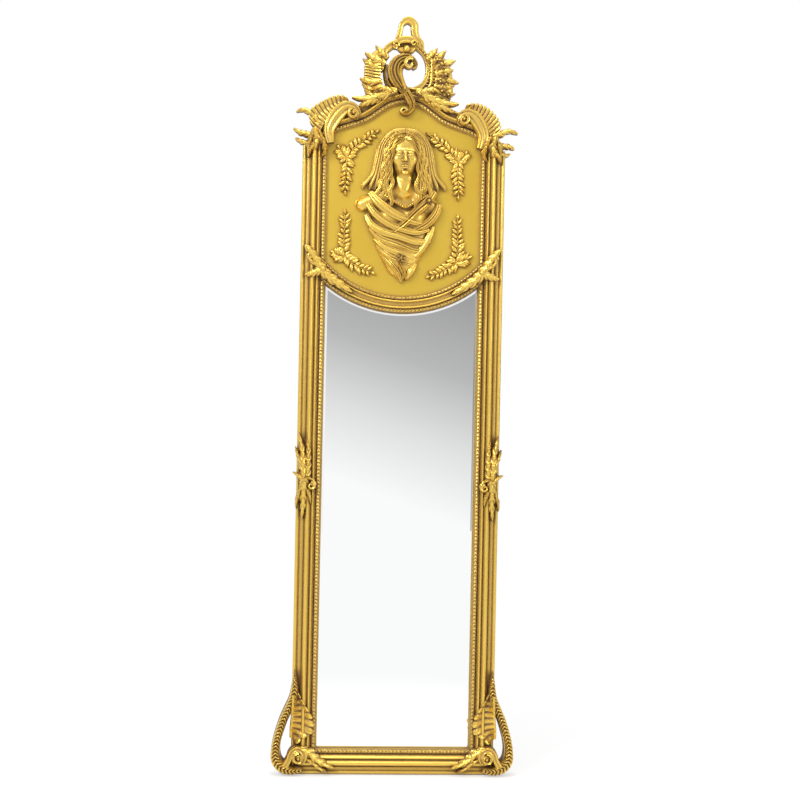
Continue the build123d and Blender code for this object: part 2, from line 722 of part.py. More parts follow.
def make_bust():
    """A draped bust in relief: ground, neck, head, hair and folds."""
    ground = faceted([scaled_outline(BUST_OUTLINE, share, REBATE_H + rise)
                      for share, rise in ((1.0, 0), (0.93, 16), (0.72, 30))])
    head_x, head_z = HEAD_SPOT
    head = faceted([oval(head_x, head_z, 34 * share, 47 * share, REBATE_H + rise)
                 for share, rise in ((1.0, 10), (1.0, 34), (0.86, 50), (0.55, 61), (0.2, 66))])
    neck = ribbon(fitted([(0, 90, 20), (0, 60, 20), (-4, 20, 30)]),
                  REBATE_H, REBATE_H + 44, 0.6)
    hair = [ribbon(fitted(s), REBATE_H + 8, REBATE_H + 52) for s in HAIR]
    folds = [ribbon(fitted(s), REBATE_H + 8, REBATE_H + 50) for s in DRAPERY]
    return carved([ground, neck, head] + hair + folds)


# Back hardware

SCREW_SIDES = 6


def screw(x, z, top, length):
    """A countersunk screw that enters from the back, its head at height top."""
    def section(radius, depth):
        spots = []
        for i in range(SCREW_SIDES):
            angle = 2 * math.pi * i / SCREW_SIDES
            spots.append(at(x + radius * math.cos(angle), top + depth,
                            z + radius * math.sin(angle)))
        return spots

    return faceted([section(SCREW_HEAD_R, 0), section(SCREW_R, SCREW_HEAD_T),
                 section(SCREW_R, length)])


def bar_plate(x, z, angle, length):
    """A straight plate on the back of the frame."""
    half = length / 2
    plate = slab(-half, half, -PLATE_W / 2, PLATE_W / 2, -PLATE_T, 0)
    return plate.rotate(Axis.Y, -angle).translate(Vector(x, 0, z))


JOINT_PLATE_L = 50.0
PLATE_SCREW_L = 10.0
BRACE_LEG = 80.0


def joint_plates():
    """Straight plates over the butt joints, with the places of their screws."""
    radius = (PANEL_ARC_R + GLASS_ARC_R) / 2
    end_x = SIGHT_HALF + 6
    lean = math.degrees(math.asin(end_x / radius))
    end_z = arc_height(radius, end_x)
    head_x = SIGHT_HALF + 24
    plates = [
        (head_x, STILE_TOP - 4, 90, JOINT_PLATE_L - 8),
        (end_x, end_z, lean, JOINT_PLATE_L),
    ]
    spots = []
    for x, z, angle, length in plates:
        spots.append((x, z, angle, length))
        spots.append((-x, z, 180 - angle, length))
    spots.append((0, PEAK_Z + HEAD_W / 2, 0, JOINT_PLATE_L))
    return spots


def plate_screw_spots(plates):
    """One screw near each end of every joint plate."""
    spots = []
    for x, z, angle, length in plates:
        reach = length / 2 - 7
        step_x = math.cos(math.radians(angle)) * reach
        step_z = math.sin(math.radians(angle)) * reach
        spots.append((x + step_x, z + step_z))
        spots.append((x - step_x, z - step_z))
    return spots


def corner_brace():
    """An angle plate over the right-hand bottom mitre."""
    mid_x = HALF_W - (STILE_W - REBATE_W) / 2
    mid_z = (BOTTOM_W - REBATE_W) / 2
    half = PLATE_W / 2
    corner_x = mid_x + half
    corner_z = mid_z - half
    points = [(corner_x, corner_z), (corner_x, corner_z + BRACE_LEG),
              (mid_x - half, corner_z + BRACE_LEG), (mid_x - half, mid_z + half),
              (corner_x - BRACE_LEG, mid_z + half), (corner_x - BRACE_LEG, corner_z)]
    plate = prism([at(x, -PLATE_T, z) for x, z in points], Vector(0, -PLATE_T, 0))
    spots = [(mid_x, corner_z + BRACE_LEG - 8), (mid_x, mid_z),
             (corner_x - BRACE_LEG + 8, mid_z)]
    return plate, spots


def clip_section(drop):
    """An offset clip as places (a, h), with a counted outward from the rebate wall."""
    inner = -CLIP_GAP
    return [(CLIP_FOOT, -CLIP_T), (CLIP_FOOT, 0), (inner, 0), (inner, drop),
            (-CLIP_TONGUE, drop), (-CLIP_TONGUE, drop - CLIP_T),
            (inner - CLIP_T, drop - CLIP_T), (inner - CLIP_T, -CLIP_T)]


def side_clip(z, drop):
    """A clip on the back of the right stile."""
    wall = SIGHT_HALF + REBATE_W
    points = [at(wall + a, h, z - CLIP_W / 2) for a, h in clip_section(drop)]
    return prism(points, Vector(0, 0, CLIP_W))


def bottom_clip(x, drop):
    """A clip on the back of the bottom rail."""
    wall = BOTTOM_W - REBATE_W
    points = [at(x - CLIP_W / 2, h, wall - a) for a, h in clip_section(drop)]
    return prism(points, Vector(CLIP_W, 0, 0))


CLIP_ROWS = [170.0, 590.0, 1010.0]
CLIP_COLUMN = 100.0
PANEL_CLIP_ROWS = [1265.0, 1430.0]
CLIP_SCREW_L = 14.0


def make_dowels():
    """Glued dowels across the mitres, the head joints and the crown."""
    across = Vector(BOTTOM_W, 0, STILE_W).normalized()
    middle = at(HALF_W - STILE_W / 2, DOWEL_H, BOTTOM_W / 2)

    def dowel(centre, along, length):
        start = centre - along * (length / 2)
        side = Vector(0, 1, 0)
        other = along.cross(side)
        spots = []
        for i in range(DOWEL_SIDES):
            angle = 2 * math.pi * i / DOWEL_SIDES
            spots.append(start + side * (DOWEL_R * math.cos(angle))
                         + other * (DOWEL_R * math.sin(angle)))
        return prism(spots, along * length)

    mitre = dowel(middle, across, DOWEL_L)
    butt = dowel(at(SIGHT_HALF + 25, DOWEL_H, STILE_TOP), Vector(0, 0, 1), DOWEL_L * 0.8)
    crown = dowel(at(0, DOWEL_H, PEAK_Z + HEAD_W / 2), Vector(1, 0, 0), DOWEL_L * 0.8)
    return [mitre, mirrored(mitre), butt, mirrored(butt), crown]


# Ring hangers

HINGE_H = -(HANGER_PLATE_T + RING_LIFT + RING_WIRE_R)


WIRE_SIDES = 8
WIRE_TURN = 30.0


def wire_section(u, v, heading, radius=RING_WIRE_R):
    """A many-sided round section, square to its heading, about the hinge line."""
    side_x = -math.sin(math.radians(heading))
    side_z = math.cos(math.radians(heading))
    spots = []
    for i in range(WIRE_SIDES):
        angle = 2 * math.pi * (i + 0.5) / WIRE_SIDES
        out = radius * math.cos(angle)
        spots.append(at(HANGER_X + u + side_x * out, HINGE_H + radius * math.sin(angle),
                        HANGER_Z + v + side_z * out))
    return polygon(spots)


def hanger_plate():
    """The right hanger's plate, rolled round the ring's bar."""
    half = HANGER_PLATE_W / 2
    low_z = HANGER_Z - HANGER_PLATE_L
    strap = slab(HANGER_X - half, HANGER_X + half, low_z, HANGER_Z, -HANGER_PLATE_T, 0)
    bore_r = (RING_WIRE_R + RING_CLEARANCE) / math.cos(math.pi / WIRE_SIDES)
    run = Vector(HANGER_PLATE_W, 0, 0)
    barrel = Solid.extrude(Face(wire_section(-half, 0, 0, bore_r + BARREL_WALL)), run)
    bore = Solid.extrude(Face(wire_section(-half, 0, 0, bore_r)), run)
    spots = [(HANGER_X, HANGER_Z - 13), (HANGER_X, HANGER_Z - 37), (HANGER_X, HANGER_Z - 49)]
    return largest((strap + barrel) - bore), spots


def hanger_ring():
    """The right hanger's D-shaped ring, hanging down from its bar."""
    half = RING_HALF_W
    corner = RING_CORNER_R
    end = half - corner
    turns = [(-end, -corner, corner, 90, 180), (0, -RING_LEG, half, 180, 360),
             (end, -corner, corner, 0, 90)]
    sections = []
    for u, v, radius, start, stop in turns:
        steps = round((stop - start) / WIRE_TURN)
        for i in range(steps + 1):
            angle = start + (stop - start) * i / steps
            spot_u = u + radius * math.cos(math.radians(angle))
            spot_v = v + radius * math.sin(math.radians(angle))
            sections.append(wire_section(spot_u, spot_v, angle + 90))
    bar = Solid.extrude(Face(wire_section(-end, 0, 180)), Vector(2 * end, 0, 0))
    return largest(loft(sections) + bar)


# Assembly

def build():
    """Every piece, by node name, as a list of solids."""
    stile_right = make_stile()
    stile_left = mirrored(stile_right)
    bottom = make_bottom_rail()
    head_right = make_head_rail()
    head_left = mirrored(head_right)
    stiles = [stile_left, stile_right]
    divider = make_divider(stiles)
    rails = stiles + [bottom, head_left, head_right, divider]

    side_right, strip_bottom, strip_arc = make_glass_strips(divider)
    panel_right, panel_arc, head_strip = make_panel_strips(divider)
    strips = [side_right, mirrored(side_right), strip_bottom, strip_arc, panel_right,
              mirrored(panel_right), panel_arc, head_strip, mirrored(head_strip)]

    panel = make_panel()
    carriers = rails + strips + [panel]
    head_carriers = [head_left, head_right, head_strip, mirrored(head_strip), panel]
    crest, plume, curl, pendant, wing_left, wing_right = make_crest(head_carriers)
    crest_pieces = [crest, plume, pendant, wing_left, wing_right]
    corner_carriers = head_carriers + stiles + strips[4:6] + crest_pieces
    scroll_left, leaf_left = make_shoulder(
        -1, SHOULDER_LEFT, SHOULDER_LEFT_SHELL, SHOULDER_LEFT_LEAF, corner_carriers)
    scroll_right, leaf_right = make_shoulder(
        1, SHOULDER_RIGHT, SHOULDER_RIGHT_SHELL, SHOULDER_RIGHT_LEAF, corner_carriers)
    clasp = make_clasp(carriers)
    side_leaf = make_side_leaf([stile_right, side_right])
    foot_scroll, foot_shell = make_foot([stile_right, bottom, side_right, strip_bottom])

    plates = joint_plates()
    brace, brace_spots = corner_brace()
    hanger, hanger_spots = hanger_plate()
    joint_spots = plate_screw_spots(plates)
    right_spots = brace_spots + [(-x, z) for x, z in brace_spots]
    plate_screws = [screw(x, z, -PLATE_T, PLATE_SCREW_L) for x, z in joint_spots + right_spots]
    both_hangers = hanger_spots + [(-x, z) for x, z in hanger_spots]
    hanger_screws = [screw(x, z, -HANGER_PLATE_T, PLATE_SCREW_L) for x, z in both_hangers]

    back_of_board = REBATE_H - GLASS_T - BACKING_T
    back_of_panel = REBATE_H - PANEL_T
    clip_x = SIGHT_HALF + REBATE_W + CLIP_FOOT / 2
    clip_z = BOTTOM_W - REBATE_W - CLIP_FOOT / 2
    right_clips = [side_clip(z, back_of_board) for z in CLIP_ROWS]
    backing_clips = right_clips + [mirrored(c) for c in right_clips]
    backing_clips += [bottom_clip(x, back_of_board) for x in (-CLIP_COLUMN, CLIP_COLUMN)]
    right_panel_clips = [side_clip(z, back_of_panel) for z in PANEL_CLIP_ROWS]
    panel_clips = right_panel_clips + [mirrored(c) for c in right_panel_clips]
    clip_spots = [(side * clip_x, z) for z in CLIP_ROWS + PANEL_CLIP_ROWS for side in (-1, 1)]
    clip_spots += [(-CLIP_COLUMN, clip_z), (CLIP_COLUMN, clip_z)]
    clip_screws = [screw(x, z, -CLIP_T, CLIP_SCREW_L) for x, z in clip_spots]

    dowels = make_dowels()
    fasteners = plate_screws + hanger_screws + clip_screws + dowels

    def drilled(solid):
        box = solid.bounding_box()
        near = []
        for fastener in fasteners:
            spot = fastener.center()
            if (box.min.X - 20 < spot.X < box.max.X + 20
                    and box.min.Z - 20 < spot.Z < box.max.Z + 20):
                near.append(fastener)
        return largest(solid.cut(*near)) if near else solid

    flat_plates = [bar_plate(*p) for p in plates]
    ring = hanger_ring()
    left_x = SIGHT_HALF - SPRAY_INSET
    right_x = left_x - SPRAY_SHIFT_X
    left_z = arc_height(PANEL_ARC_R, left_x) + SPRAY_RISE
    right_z = left_z - SPRAY_SHIFT_Z
    high_z = STILE_TOP - SPRAY_DROP
    return {
        "stile_left": [drilled(stile_left)],
        "stile_right": [drilled(stile_right)],
        "bottom_rail": [drilled(bottom)],
        "head_rail_left": [drilled(head_left)],
        "head_rail_right": [drilled(head_right)],
        "divider_rail": [drilled(divider)],
        "glass_strip_left": [mirrored(side_right)],
        "glass_strip_right": [side_right],
        "glass_strip_bottom": [strip_bottom],
        "glass_strip_top": [strip_arc],
        "panel_strip_left": [mirrored(panel_right)],
        "panel_strip_right": [panel_right],
        "panel_strip_bottom": [panel_arc],
        "panel_strip_head_left": [mirrored(head_strip)],
        "panel_strip_head_right": [head_strip],
        "panel_board": [panel],
        "mirror_glass": [make_glass()],
        "backing_board": [make_backing()],
        "crest_frame": [crest],
        "crest_plume": [plume],
        "crest_top_curl": [curl],
        "crest_pendant": [pendant],
        "crest_wing_left": [wing_left],
        "crest_wing_right": [wing_right],
        "shoulder_scroll_left": [scroll_left],
        "shoulder_scroll_right": [scroll_right],
        "shoulder_leaf_left": [leaf_left],
        "shoulder_leaf_right": [leaf_right],
        "clasp_left": [mirrored(clasp)],
        "clasp_right": [clasp],
        "side_leaf_left": [mirrored(side_leaf)],
        "side_leaf_right": [side_leaf],
        "foot_scroll_left": [mirrored(foot_scroll)],
        "foot_scroll_right": [foot_scroll],
        "foot_shell_left": [mirrored(foot_shell)],
        "foot_shell_right": [foot_shell],
        "maiden_bust": [make_bust()],
        "laurel_spray_upper_left": [make_spray(left_x, high_z, -1, SPRAY_HIGH_ARMS)],
        "laurel_spray_upper_right": [make_spray(right_x, high_z - 4, 1, SPRAY_HIGH_ARMS)],
        "laurel_spray_lower_left": [make_spray(left_x, left_z, -1, SPRAY_LOW_ARMS)],
        "laurel_spray_lower_right": [make_spray(right_x, right_z, 1, SPRAY_LOW_ARMS)],
        "corner_braces": [largest(p.cut(*plate_screws)) for p in (brace, mirrored(brace))],
        "joint_plates": [largest(p.cut(*plate_screws)) for p in flat_plates],
        "plate_screws": plate_screws,
        "backing_clips": [largest(c.cut(*clip_screws)) for c in backing_clips],
        "panel_clips": [largest(c.cut(*clip_screws)) for c in panel_clips],
        "clip_screws": clip_screws,
        "joint_dowels": dowels,
        "hanger_plate_left": [largest(mirrored(hanger).cut(*hanger_screws))],
        "hanger_plate_right": [largest(hanger.cut(*hanger_screws))],
        "hanger_screws": hanger_screws,
        "hanger_ring_left": [mirrored(ring)],
        "hanger_ring_right": [ring],
    }


os.makedirs("parts", exist_ok=True)
for node, solids in build().items():
    shape = solids[0] if len(solids) == 1 else Compound(children=solids)
    export_step(shape, f"parts/{node}.step")
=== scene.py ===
"""Looks of the gilt floor mirror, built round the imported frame.

Shapes are worked out in millimetres as (x, h, z): x to the right, h forward from the
flat back of the frame, z up from the floor.
"""
import math

import bmesh
import bpy
import numpy as np
import openvdb
from mathutils import Matrix, Vector


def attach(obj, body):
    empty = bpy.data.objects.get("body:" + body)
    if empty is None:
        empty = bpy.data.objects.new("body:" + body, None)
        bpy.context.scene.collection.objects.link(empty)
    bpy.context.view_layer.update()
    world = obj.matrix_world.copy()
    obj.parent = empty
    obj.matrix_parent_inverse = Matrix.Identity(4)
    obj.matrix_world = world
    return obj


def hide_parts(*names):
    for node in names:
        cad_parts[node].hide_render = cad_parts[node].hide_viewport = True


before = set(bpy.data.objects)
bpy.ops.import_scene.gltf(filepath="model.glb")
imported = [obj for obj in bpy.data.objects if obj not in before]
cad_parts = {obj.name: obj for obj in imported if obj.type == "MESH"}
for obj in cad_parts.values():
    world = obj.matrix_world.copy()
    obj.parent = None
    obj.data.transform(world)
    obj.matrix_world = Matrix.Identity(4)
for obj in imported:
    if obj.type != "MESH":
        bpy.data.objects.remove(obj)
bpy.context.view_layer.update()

BACK_Y = 22.0
HALF_W = 240.0
STILE_W = 58.0
BOTTOM_W = 62.0
HEAD_W = 40.0
STILE_TOP = 1484.0
ARCH_RISE = 104.5
SIGHT = HALF_W - STILE_W
PEAK_Z = STILE_TOP + ARCH_RISE
ARC_Z = 1382.0
PANEL_ARC_R = 248.0
GLASS_ARC_R = 288.0
SEAT_H = 29.0
PANEL_H = 22.0
STRIP_W = 11
DIVIDER_END_X = 188.0
ARC_STRIP_END_X = 186.0
SIDE_LEAF_Z = 700.0
LAYER = 0.04
FINE = 0.6
SIDES = ((-1, "left"), (1, "right"))


# Forms: a form is a list of places, a list of faces and a level of antiquing and painted
# shade for each place. It runs from 0, bright gold on the raised parts, to 1, brown in the hollows.

def joined(forms):
    """Several forms as one."""
    places = []
    faces = []
    antiquing_and_shading = []
    start = 0
    for layer, (some_places, some_faces, some_antiquing_and_shading) in enumerate(forms):
        places.append(some_places + np.array((0.0, LAYER * layer, 0.0)))
        faces.extend(tuple(i + start for i in face) for face in some_faces)
        antiquing_and_shading.append(some_antiquing_and_shading)
        start += len(some_places)
    return np.vstack(places), faces, np.concatenate(antiquing_and_shading)


def swept(rings, antiquing_and_shading):
    """A closed form through rings of as many places."""
    count, around = rings.shape[:2]
    faces = []
    for i in range(count - 1):
        for j in range(around):
            k = (j + 1) % around
            faces.append((i * around + j, i * around + k,
                          (i + 1) * around + k, (i + 1) * around + j))
    faces.append(tuple(range(around)))
    faces.append(tuple(range(count * around - 1, (count - 1) * around - 1, -1)))
    return rings.reshape(-1, 3), faces, antiquing_and_shading.reshape(-1)


def walled(x, z, height, low, antiquing_and_shading):
    """A closed form under a grid of heights, with walls down to its low face."""
    count, across = height.shape
    grid = np.empty((count, across + 2, 3))
    grid[:, 1:-1, 0] = x
    grid[:, 1:-1, 1] = height
    grid[:, 1:-1, 2] = z
    grid[:, 0] = grid[:, 1]
    grid[:, -1] = grid[:, -2]
    grid[:, 0, 1] = low
    grid[:, -1, 1] = low
    # Antiquing and painted shade: the walls down the sides are full brown, and the top takes the
    # levels given.
    wall_antiquing_and_shading = np.ones((count, across + 2))
    wall_antiquing_and_shading[:, 1:-1] = np.clip(antiquing_and_shading, 0, 1)
    return swept(grid, wall_antiquing_and_shading)


def linked(name, data):
    """A new object in the scene."""
    thing = bpy.data.objects.new(name, data)
    bpy.context.scene.collection.objects.link(thing)
    return thing


def shown(name, forms, node, material, angle=50):
    """A form as an object that rides with the frame and stands for a node."""
    places, faces, antiquing_and_shading = joined(forms)
    metres = np.stack([places[:, 0], BACK_Y - places[:, 1], places[:, 2]], 1) * 0.001
    mesh = bpy.data.meshes.new(name)
    mesh.from_pydata(metres.tolist(), [], faces)
    work = bmesh.new()
    work.from_mesh(mesh)
    bmesh.ops.recalc_face_normals(work, faces=work.faces)
    work.to_mesh(mesh)
    work.free()
    # Per-place levels of antiquing and painted shade for the gold materials.
    attribute = mesh.attributes.new("antiquing_and_shade", "FLOAT", "POINT")
    attribute.data.foreach_set("value", antiquing_and_shading.astype(np.float32))
    mesh.shade_smooth()
    mesh.set_sharp_from_angle(angle=math.radians(angle))
    mesh.materials.append(material)
    piece = linked(name, mesh)
    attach(piece, "frame")
    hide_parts(node)


# Lines

def smooth_line(stroke, step):
    """Even places on a smooth curve through a stroke, with the run up to each."""
    knots = np.array(stroke, float)
    ends = np.vstack([2 * knots[0] - knots[1], knots, 2 * knots[-1] - knots[-2]])
    t = np.linspace(0, 1, 16, endpoint=False)[:, None]
    dense = []
    for a, b, c, d in zip(ends[:-3], ends[1:-2], ends[2:-1], ends[3:]):
        dense.append(0.5 * (2 * b + (c - a) * t + (2 * a - 5 * b + 4 * c - d) * t ** 2
                            + (3 * b - a - 3 * c + d) * t ** 3))
    dense = np.vstack(dense + [knots[-1:]])
    steps = np.hypot(np.diff(dense[:, 0]), np.diff(dense[:, 1]))
    run = np.concatenate([[0], np.cumsum(steps)])
    count = max(8, int(run[-1] / step))
    marks = np.linspace(0, run[-1], count + 1)
    line = np.stack([np.interp(marks, run, dense[:, k]) for k in range(dense.shape[1])], 1)
    return line, marks


def sideways(line):
    """Unit vectors to the left of a line, and how sharply it turns to the left."""
    run_x = np.gradient(line[:, 0])
    run_z = np.gradient(line[:, 1])
    length = np.hypot(run_x, run_z) + 1e-9
    left = np.stack([-run_z / length, run_x / length], 1)
    angle = np.unwrap(np.arctan2(run_z, run_x))
    return left, np.gradient(angle) / length


def spiral(x, z, start, stop, turns, half, angle=0.0):
    """A stroke that winds round a place, from one radius to another."""
    count = max(6, int(abs(turns) * 10))
    stroke = []
    for i in range(count + 1):
        t = i / count
        radius = start + (stop - start) * t ** 0.8
        bearing = math.radians(angle) + 2 * math.pi * turns * t
        stroke.append((x + radius * math.cos(bearing), z + radius * math.sin(bearing),
                       half * (1 - 0.45 * t)))
    return stroke


# Carved forms

def even(stroke, count):
    """So many even places on a smooth curve through a stroke."""
    line, run = smooth_line(stroke, 2.0)
    marks = np.linspace(0, run[-1], count)
    return np.stack([np.interp(marks, run, line[:, k]) for k in range(line.shape[1])], 1)


def blade(stroke, low, high, hollow=0.0, ridge=0.0, flutes=0, groove=0.12,
          left=(0, 0.25), right=(0, 0.25), ribs=(0, 0.2, 1.0), edge=0.45, step=None,
          across=None):
    """A carved band or leaf along a stroke of (x, z, half width[, height]).

    Hollow sinks the middle, ridge raises it, flutes run lengthwise, and left and
    right are the number and the depth of the lobes on that edge. Ribs are the
    number, depth and slant of the ridges that run across.
    """
    line, run = smooth_line(stroke, step or 2.2 * FINE)
    out, turn = sideways(line)
    half = np.maximum(line[:, 2], 0.35)
    if line.shape[1] > 3:
        high = line[:, 3]
    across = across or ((17 + 5 * flutes))
    u = np.sin(np.linspace(-math.pi / 2, math.pi / 2, across))
    share = run / run[-1]
    scale = np.ones((len(line), across))
    carve = np.zeros((len(line), across))
    for side, (count, depth) in ((1, left), (-1, right)):
        here = (u * side > 0)
        if count:
            lean = share[:, None] * count - 0.9 * np.abs(u[here])[None, :] + 0.9
            wave = np.abs(np.sin(math.pi * lean)) ** 0.7
            edge_wave = np.abs(np.sin(math.pi * count * share)) ** 0.7
            scale[:, here] *= (1 - depth + depth * edge_wave)[:, None]
            carve[:, here] += (1 - wave) * np.abs(u[here])[None, :] ** 0.6 * 0.45
        limit = np.where(turn * side > 0, 0.92 / np.maximum(np.abs(turn), 1e-6), 1e9)
        scale[:, here] *= np.minimum(1, limit / half)[:, None]
    shape = (1 - np.abs(u) ** 3.5) ** 0.5
    body = 1 - hollow * (1 - u ** 2) - ridge * np.abs(u) ** 1.2
    if flutes:
        body = body - groove * (0.5 - 0.5 * np.cos(math.pi * (flutes + 1) * (u + 1)))
    body = np.tile(body, (len(line), 1))
    if ribs[0]:
        wave = np.abs(np.sin(math.pi * (ribs[0] * share[:, None] - ribs[2] * np.abs(u)[None, :])))
        body = body - ribs[1] * (1 - wave ** 0.6)
    full = np.clip(half / np.percentile(half, 70), 0.2, 1.0) ** 0.5
    top = np.asarray(high, float) * np.ones(len(line))
    lip = low + (top - low) * edge
    rise = (top - lip) * full
    height = lip[:, None] + rise[:, None] * shape[None, :] * body * (1 - carve)
    reach = u[None, :] * half[:, None] * scale
    # Antiquing and painted shade: browner where the surface sinks below its neighbours, where it lies
    # low, and in the carved lobes.
    mean = (np.roll(height, 2, 1) + np.roll(height, -2, 1) + height) / 3
    sunk = np.clip((mean - height) * 0.5, -0.3, 0.8)
    depth = 1 - (height - low) / np.maximum(top - low, 1)[:, None]
    return walled(line[:, 0:1] + out[:, 0:1] * reach, line[:, 1:2] + out[:, 1:2] * reach,
                  height, low, 0.06 + sunk + depth ** 2.2 * 0.7 + carve * 0.6)


def fan(inner, outer, low, high, ribs, scallop=0.2, cup=0.35, groove=0.35):
    """A shell of ribs that spread from an inner to an outer line."""
    count = ribs * 8 + 1
    across = 12
    near = even(inner, count)[:, None, :2]
    far = even(outer, count)[:, None, :2]
    t = np.linspace(0, 1, count)[:, None]
    s = np.linspace(0, 1, across)[None, :]
    wave = np.abs(np.sin(math.pi * ribs * t)) ** 0.6
    reach = s * (1 - scallop * (1 - wave) * s)
    height = low + (high - low) * (1 - cup * np.sin(math.pi * s) ** 1.2 - 0.25 * s ** 6) \
        * (1 - groove * (1 - wave) * (0.4 + 0.6 * s))
    spread = near + (far - near) * reach[..., None]
    # Antiquing and painted shade: browner in the grooves between the ribs and in the cupped middle.
    return walled(spread[..., 0], spread[..., 1], height, low,
                  1.0 - 1.2 * wave + 0.3 * np.sin(math.pi * s))


def dome(x, z, radius, low, high, petals=0, depth=0.3):
    """A boss, or a rosette of petals round a button."""
    around = 12 if not petals else petals * 8
    levels = 7
    rings = np.empty((levels, around, 3))
    antiquing_and_shading = np.empty((levels, around))
    for i in range(levels):
        t = 1 - i / (levels - 1) * 0.97
        for j in range(around):
            bearing = 2 * math.pi * j / around
            wave = abs(math.cos(petals * bearing / 2)) ** 0.6 if petals else 1.0
            reach = radius * t * (1 - depth + depth * wave)
            rise = math.sqrt(max(0.0, 1 - t ** 2.5))
            if petals:
                rise = 0.35 + 0.5 * t * wave if t > 0.4 else 0.5 + 0.5 * (1 - (t / 0.4) ** 2)
            if i == 0:
                rise = 0
            rings[i, j] = (x + reach * math.cos(bearing), low + (high - low) * rise,
                           z + reach * math.sin(bearing))
            # Antiquing and painted shade: browner low down on the boss, and full brown round its
            # foot.
            antiquing_and_shading[i, j] = min(1, 1.1 - rise) if i else 1
    return swept(rings, antiquing_and_shading)


def beads(stroke, radius, low, high, pitch):
    """A row of beads along a stroke."""
    line = smooth_line(stroke, pitch)[0]
    return [dome(x, z, radius, low, high) for x, z in line[:, :2]]


# Mouldings

def bowed(a, b, rise, steps=8):
    """Places after a on a bow up to b."""
    across = b[0] - a[0]
    up = b[1] - a[1]
    length = math.hypot(across, up)
    places = []
    for i in range(1, steps + 1):
        t = i / steps
        lift = 4 * rise * t * (1 - t) / length
        places.append((a[0] + across * t - up * lift, a[1] + up * t + across * lift))
    return places


def stile_profile(width):
    """The side moulding as places (d, h), with d counted from the outer edge."""
    torus = [(0, 26)] + bowed((0, 26), (8.5, 28.5), 3.6)
    cove = [(9.5, 26.5), (11.5, 26.5), (12, 29.5)] + bowed((12, 29.5), (19, 37), -1.6)
    broad = [(20, 35), (21, 35.5)] + bowed((21, 35.5), (34, 36.5), 8.0, 14)
    bead = [(34.8, 34.8), (36, 36.5)] + bowed((36, 36.5), (42, 36.5), 3.5)
    moulded = [(d * width / STILE_W, h) for d, h in torus + cove + broad + bead]
    seat = width - 13
    lip = width - 12
    return np.array([(0, 0)] + moulded + [
        (seat - 1.5, 33.5), (seat, 34.5), (seat, SEAT_H), (width, SEAT_H), (width, PANEL_H),
        (lip, PANEL_H), (lip, 0)])


def profile_antiquing_and_shading(profile):
    """Antiquing and painted shade round a moulding: brown in its hollows."""
    heights = profile[:, 1]
    distance = profile[:, 0]
    antiquing_and_shading = np.zeros(len(profile))
    for i, (d, h) in enumerate(profile):
        near = np.abs(distance - d) < 6
        antiquing_and_shading[i] = np.clip((heights[near].max() - h) / 9, 0, 1) ** 1.3
    return antiquing_and_shading


def make_stile(side):
    """One side moulding, mitred at its foot."""
    profile = stile_profile(STILE_W)
    slope = BOTTOM_W / STILE_W
    rings = []
    for top in np.linspace(0, 1, 40):
        ring = [(side * (HALF_W - d), h, d * slope + (STILE_TOP - d * slope) * top)
                for d, h in profile]
        rings.append(ring)
    antiquing_and_shading = np.tile(profile_antiquing_and_shading(profile), (len(rings), 1))
    return swept(np.array(rings), antiquing_and_shading)


def make_bottom():
    """The bottom moulding, mitred at both ends."""
    profile = stile_profile(BOTTOM_W)
    slope = STILE_W / BOTTOM_W
    rings = []
    for t in np.linspace(-1, 1, 24):
        rings.append([(t * (HALF_W - d * slope), h, d) for d, h in profile])
    antiquing_and_shading = np.tile(profile_antiquing_and_shading(profile), (len(rings), 1))
    return swept(np.array(rings), antiquing_and_shading)


HEAD_LINE = [(1.0, 0.0), (0.967, 0.14), (0.923, 0.27), (0.846, 0.354), (0.714, 0.43),
             (0.58, 0.507), (0.456, 0.603), (0.324, 0.766), (0.18, 0.93), (0.0, 1.0)]


def head_line(side, step):
    """Places and outward directions along one half of the head opening."""
    knots = [(SIGHT * a, STILE_TOP + ARCH_RISE * b) for a, b in HEAD_LINE]
    knots = [(SIGHT, STILE_TOP - 14)] + knots + [(-knots[-2][0], knots[-2][1])]
    line = smooth_line(knots, step)[0]
    keep = (line[:, 1] >= STILE_TOP) & (line[:, 0] >= 0)
    line = line[keep]
    line[0] = (SIGHT, STILE_TOP)
    line[-1] = (0, PEAK_Z)
    left = sideways(line)[0]
    left[0] = (-1, 0)
    left[-1] = (0, -1)
    line[:, 0] *= side
    left[:, 0] *= side
    return line, -left


def along_head(profile, side, antiquing_and_shading=None):
    """A moulding along one half of the head. Its profile counts n outward."""
    line, out = head_line(side, 4.0)
    rings = np.empty((len(line), len(profile), 3))
    for k, (n, h) in enumerate(profile):
        rings[:, k, 0] = line[:, 0] + out[:, 0] * n
        rings[:, k, 2] = line[:, 1] + out[:, 1] * n
        rings[:, k, 1] = h
    antiquing_and_shading = profile_antiquing_and_shading(np.array(profile)) if antiquing_and_shading is None else antiquing_and_shading
    return swept(rings, np.tile(antiquing_and_shading, (len(line), 1)))


def head_profile():
    """The head moulding's section, n counted outward from the sight edge."""
    edge = HEAD_W
    outer = [(edge, 33)] + bowed((edge, 33), (edge - 7, 33), -5.0)
    cove = bowed((edge - 7, 33), (edge - 16.5, 33), 2.4)
    broad = bowed((edge - 16.5, 33), (edge - 25.5, 34.5), -8.0, 12)
    return [(edge, 0)] + outer + cove + broad + [
        (13.4, 33.6), (12, 34.5), (12, SEAT_H), (0, SEAT_H), (0, PANEL_H), (10, PANEL_H), (10, 0)]


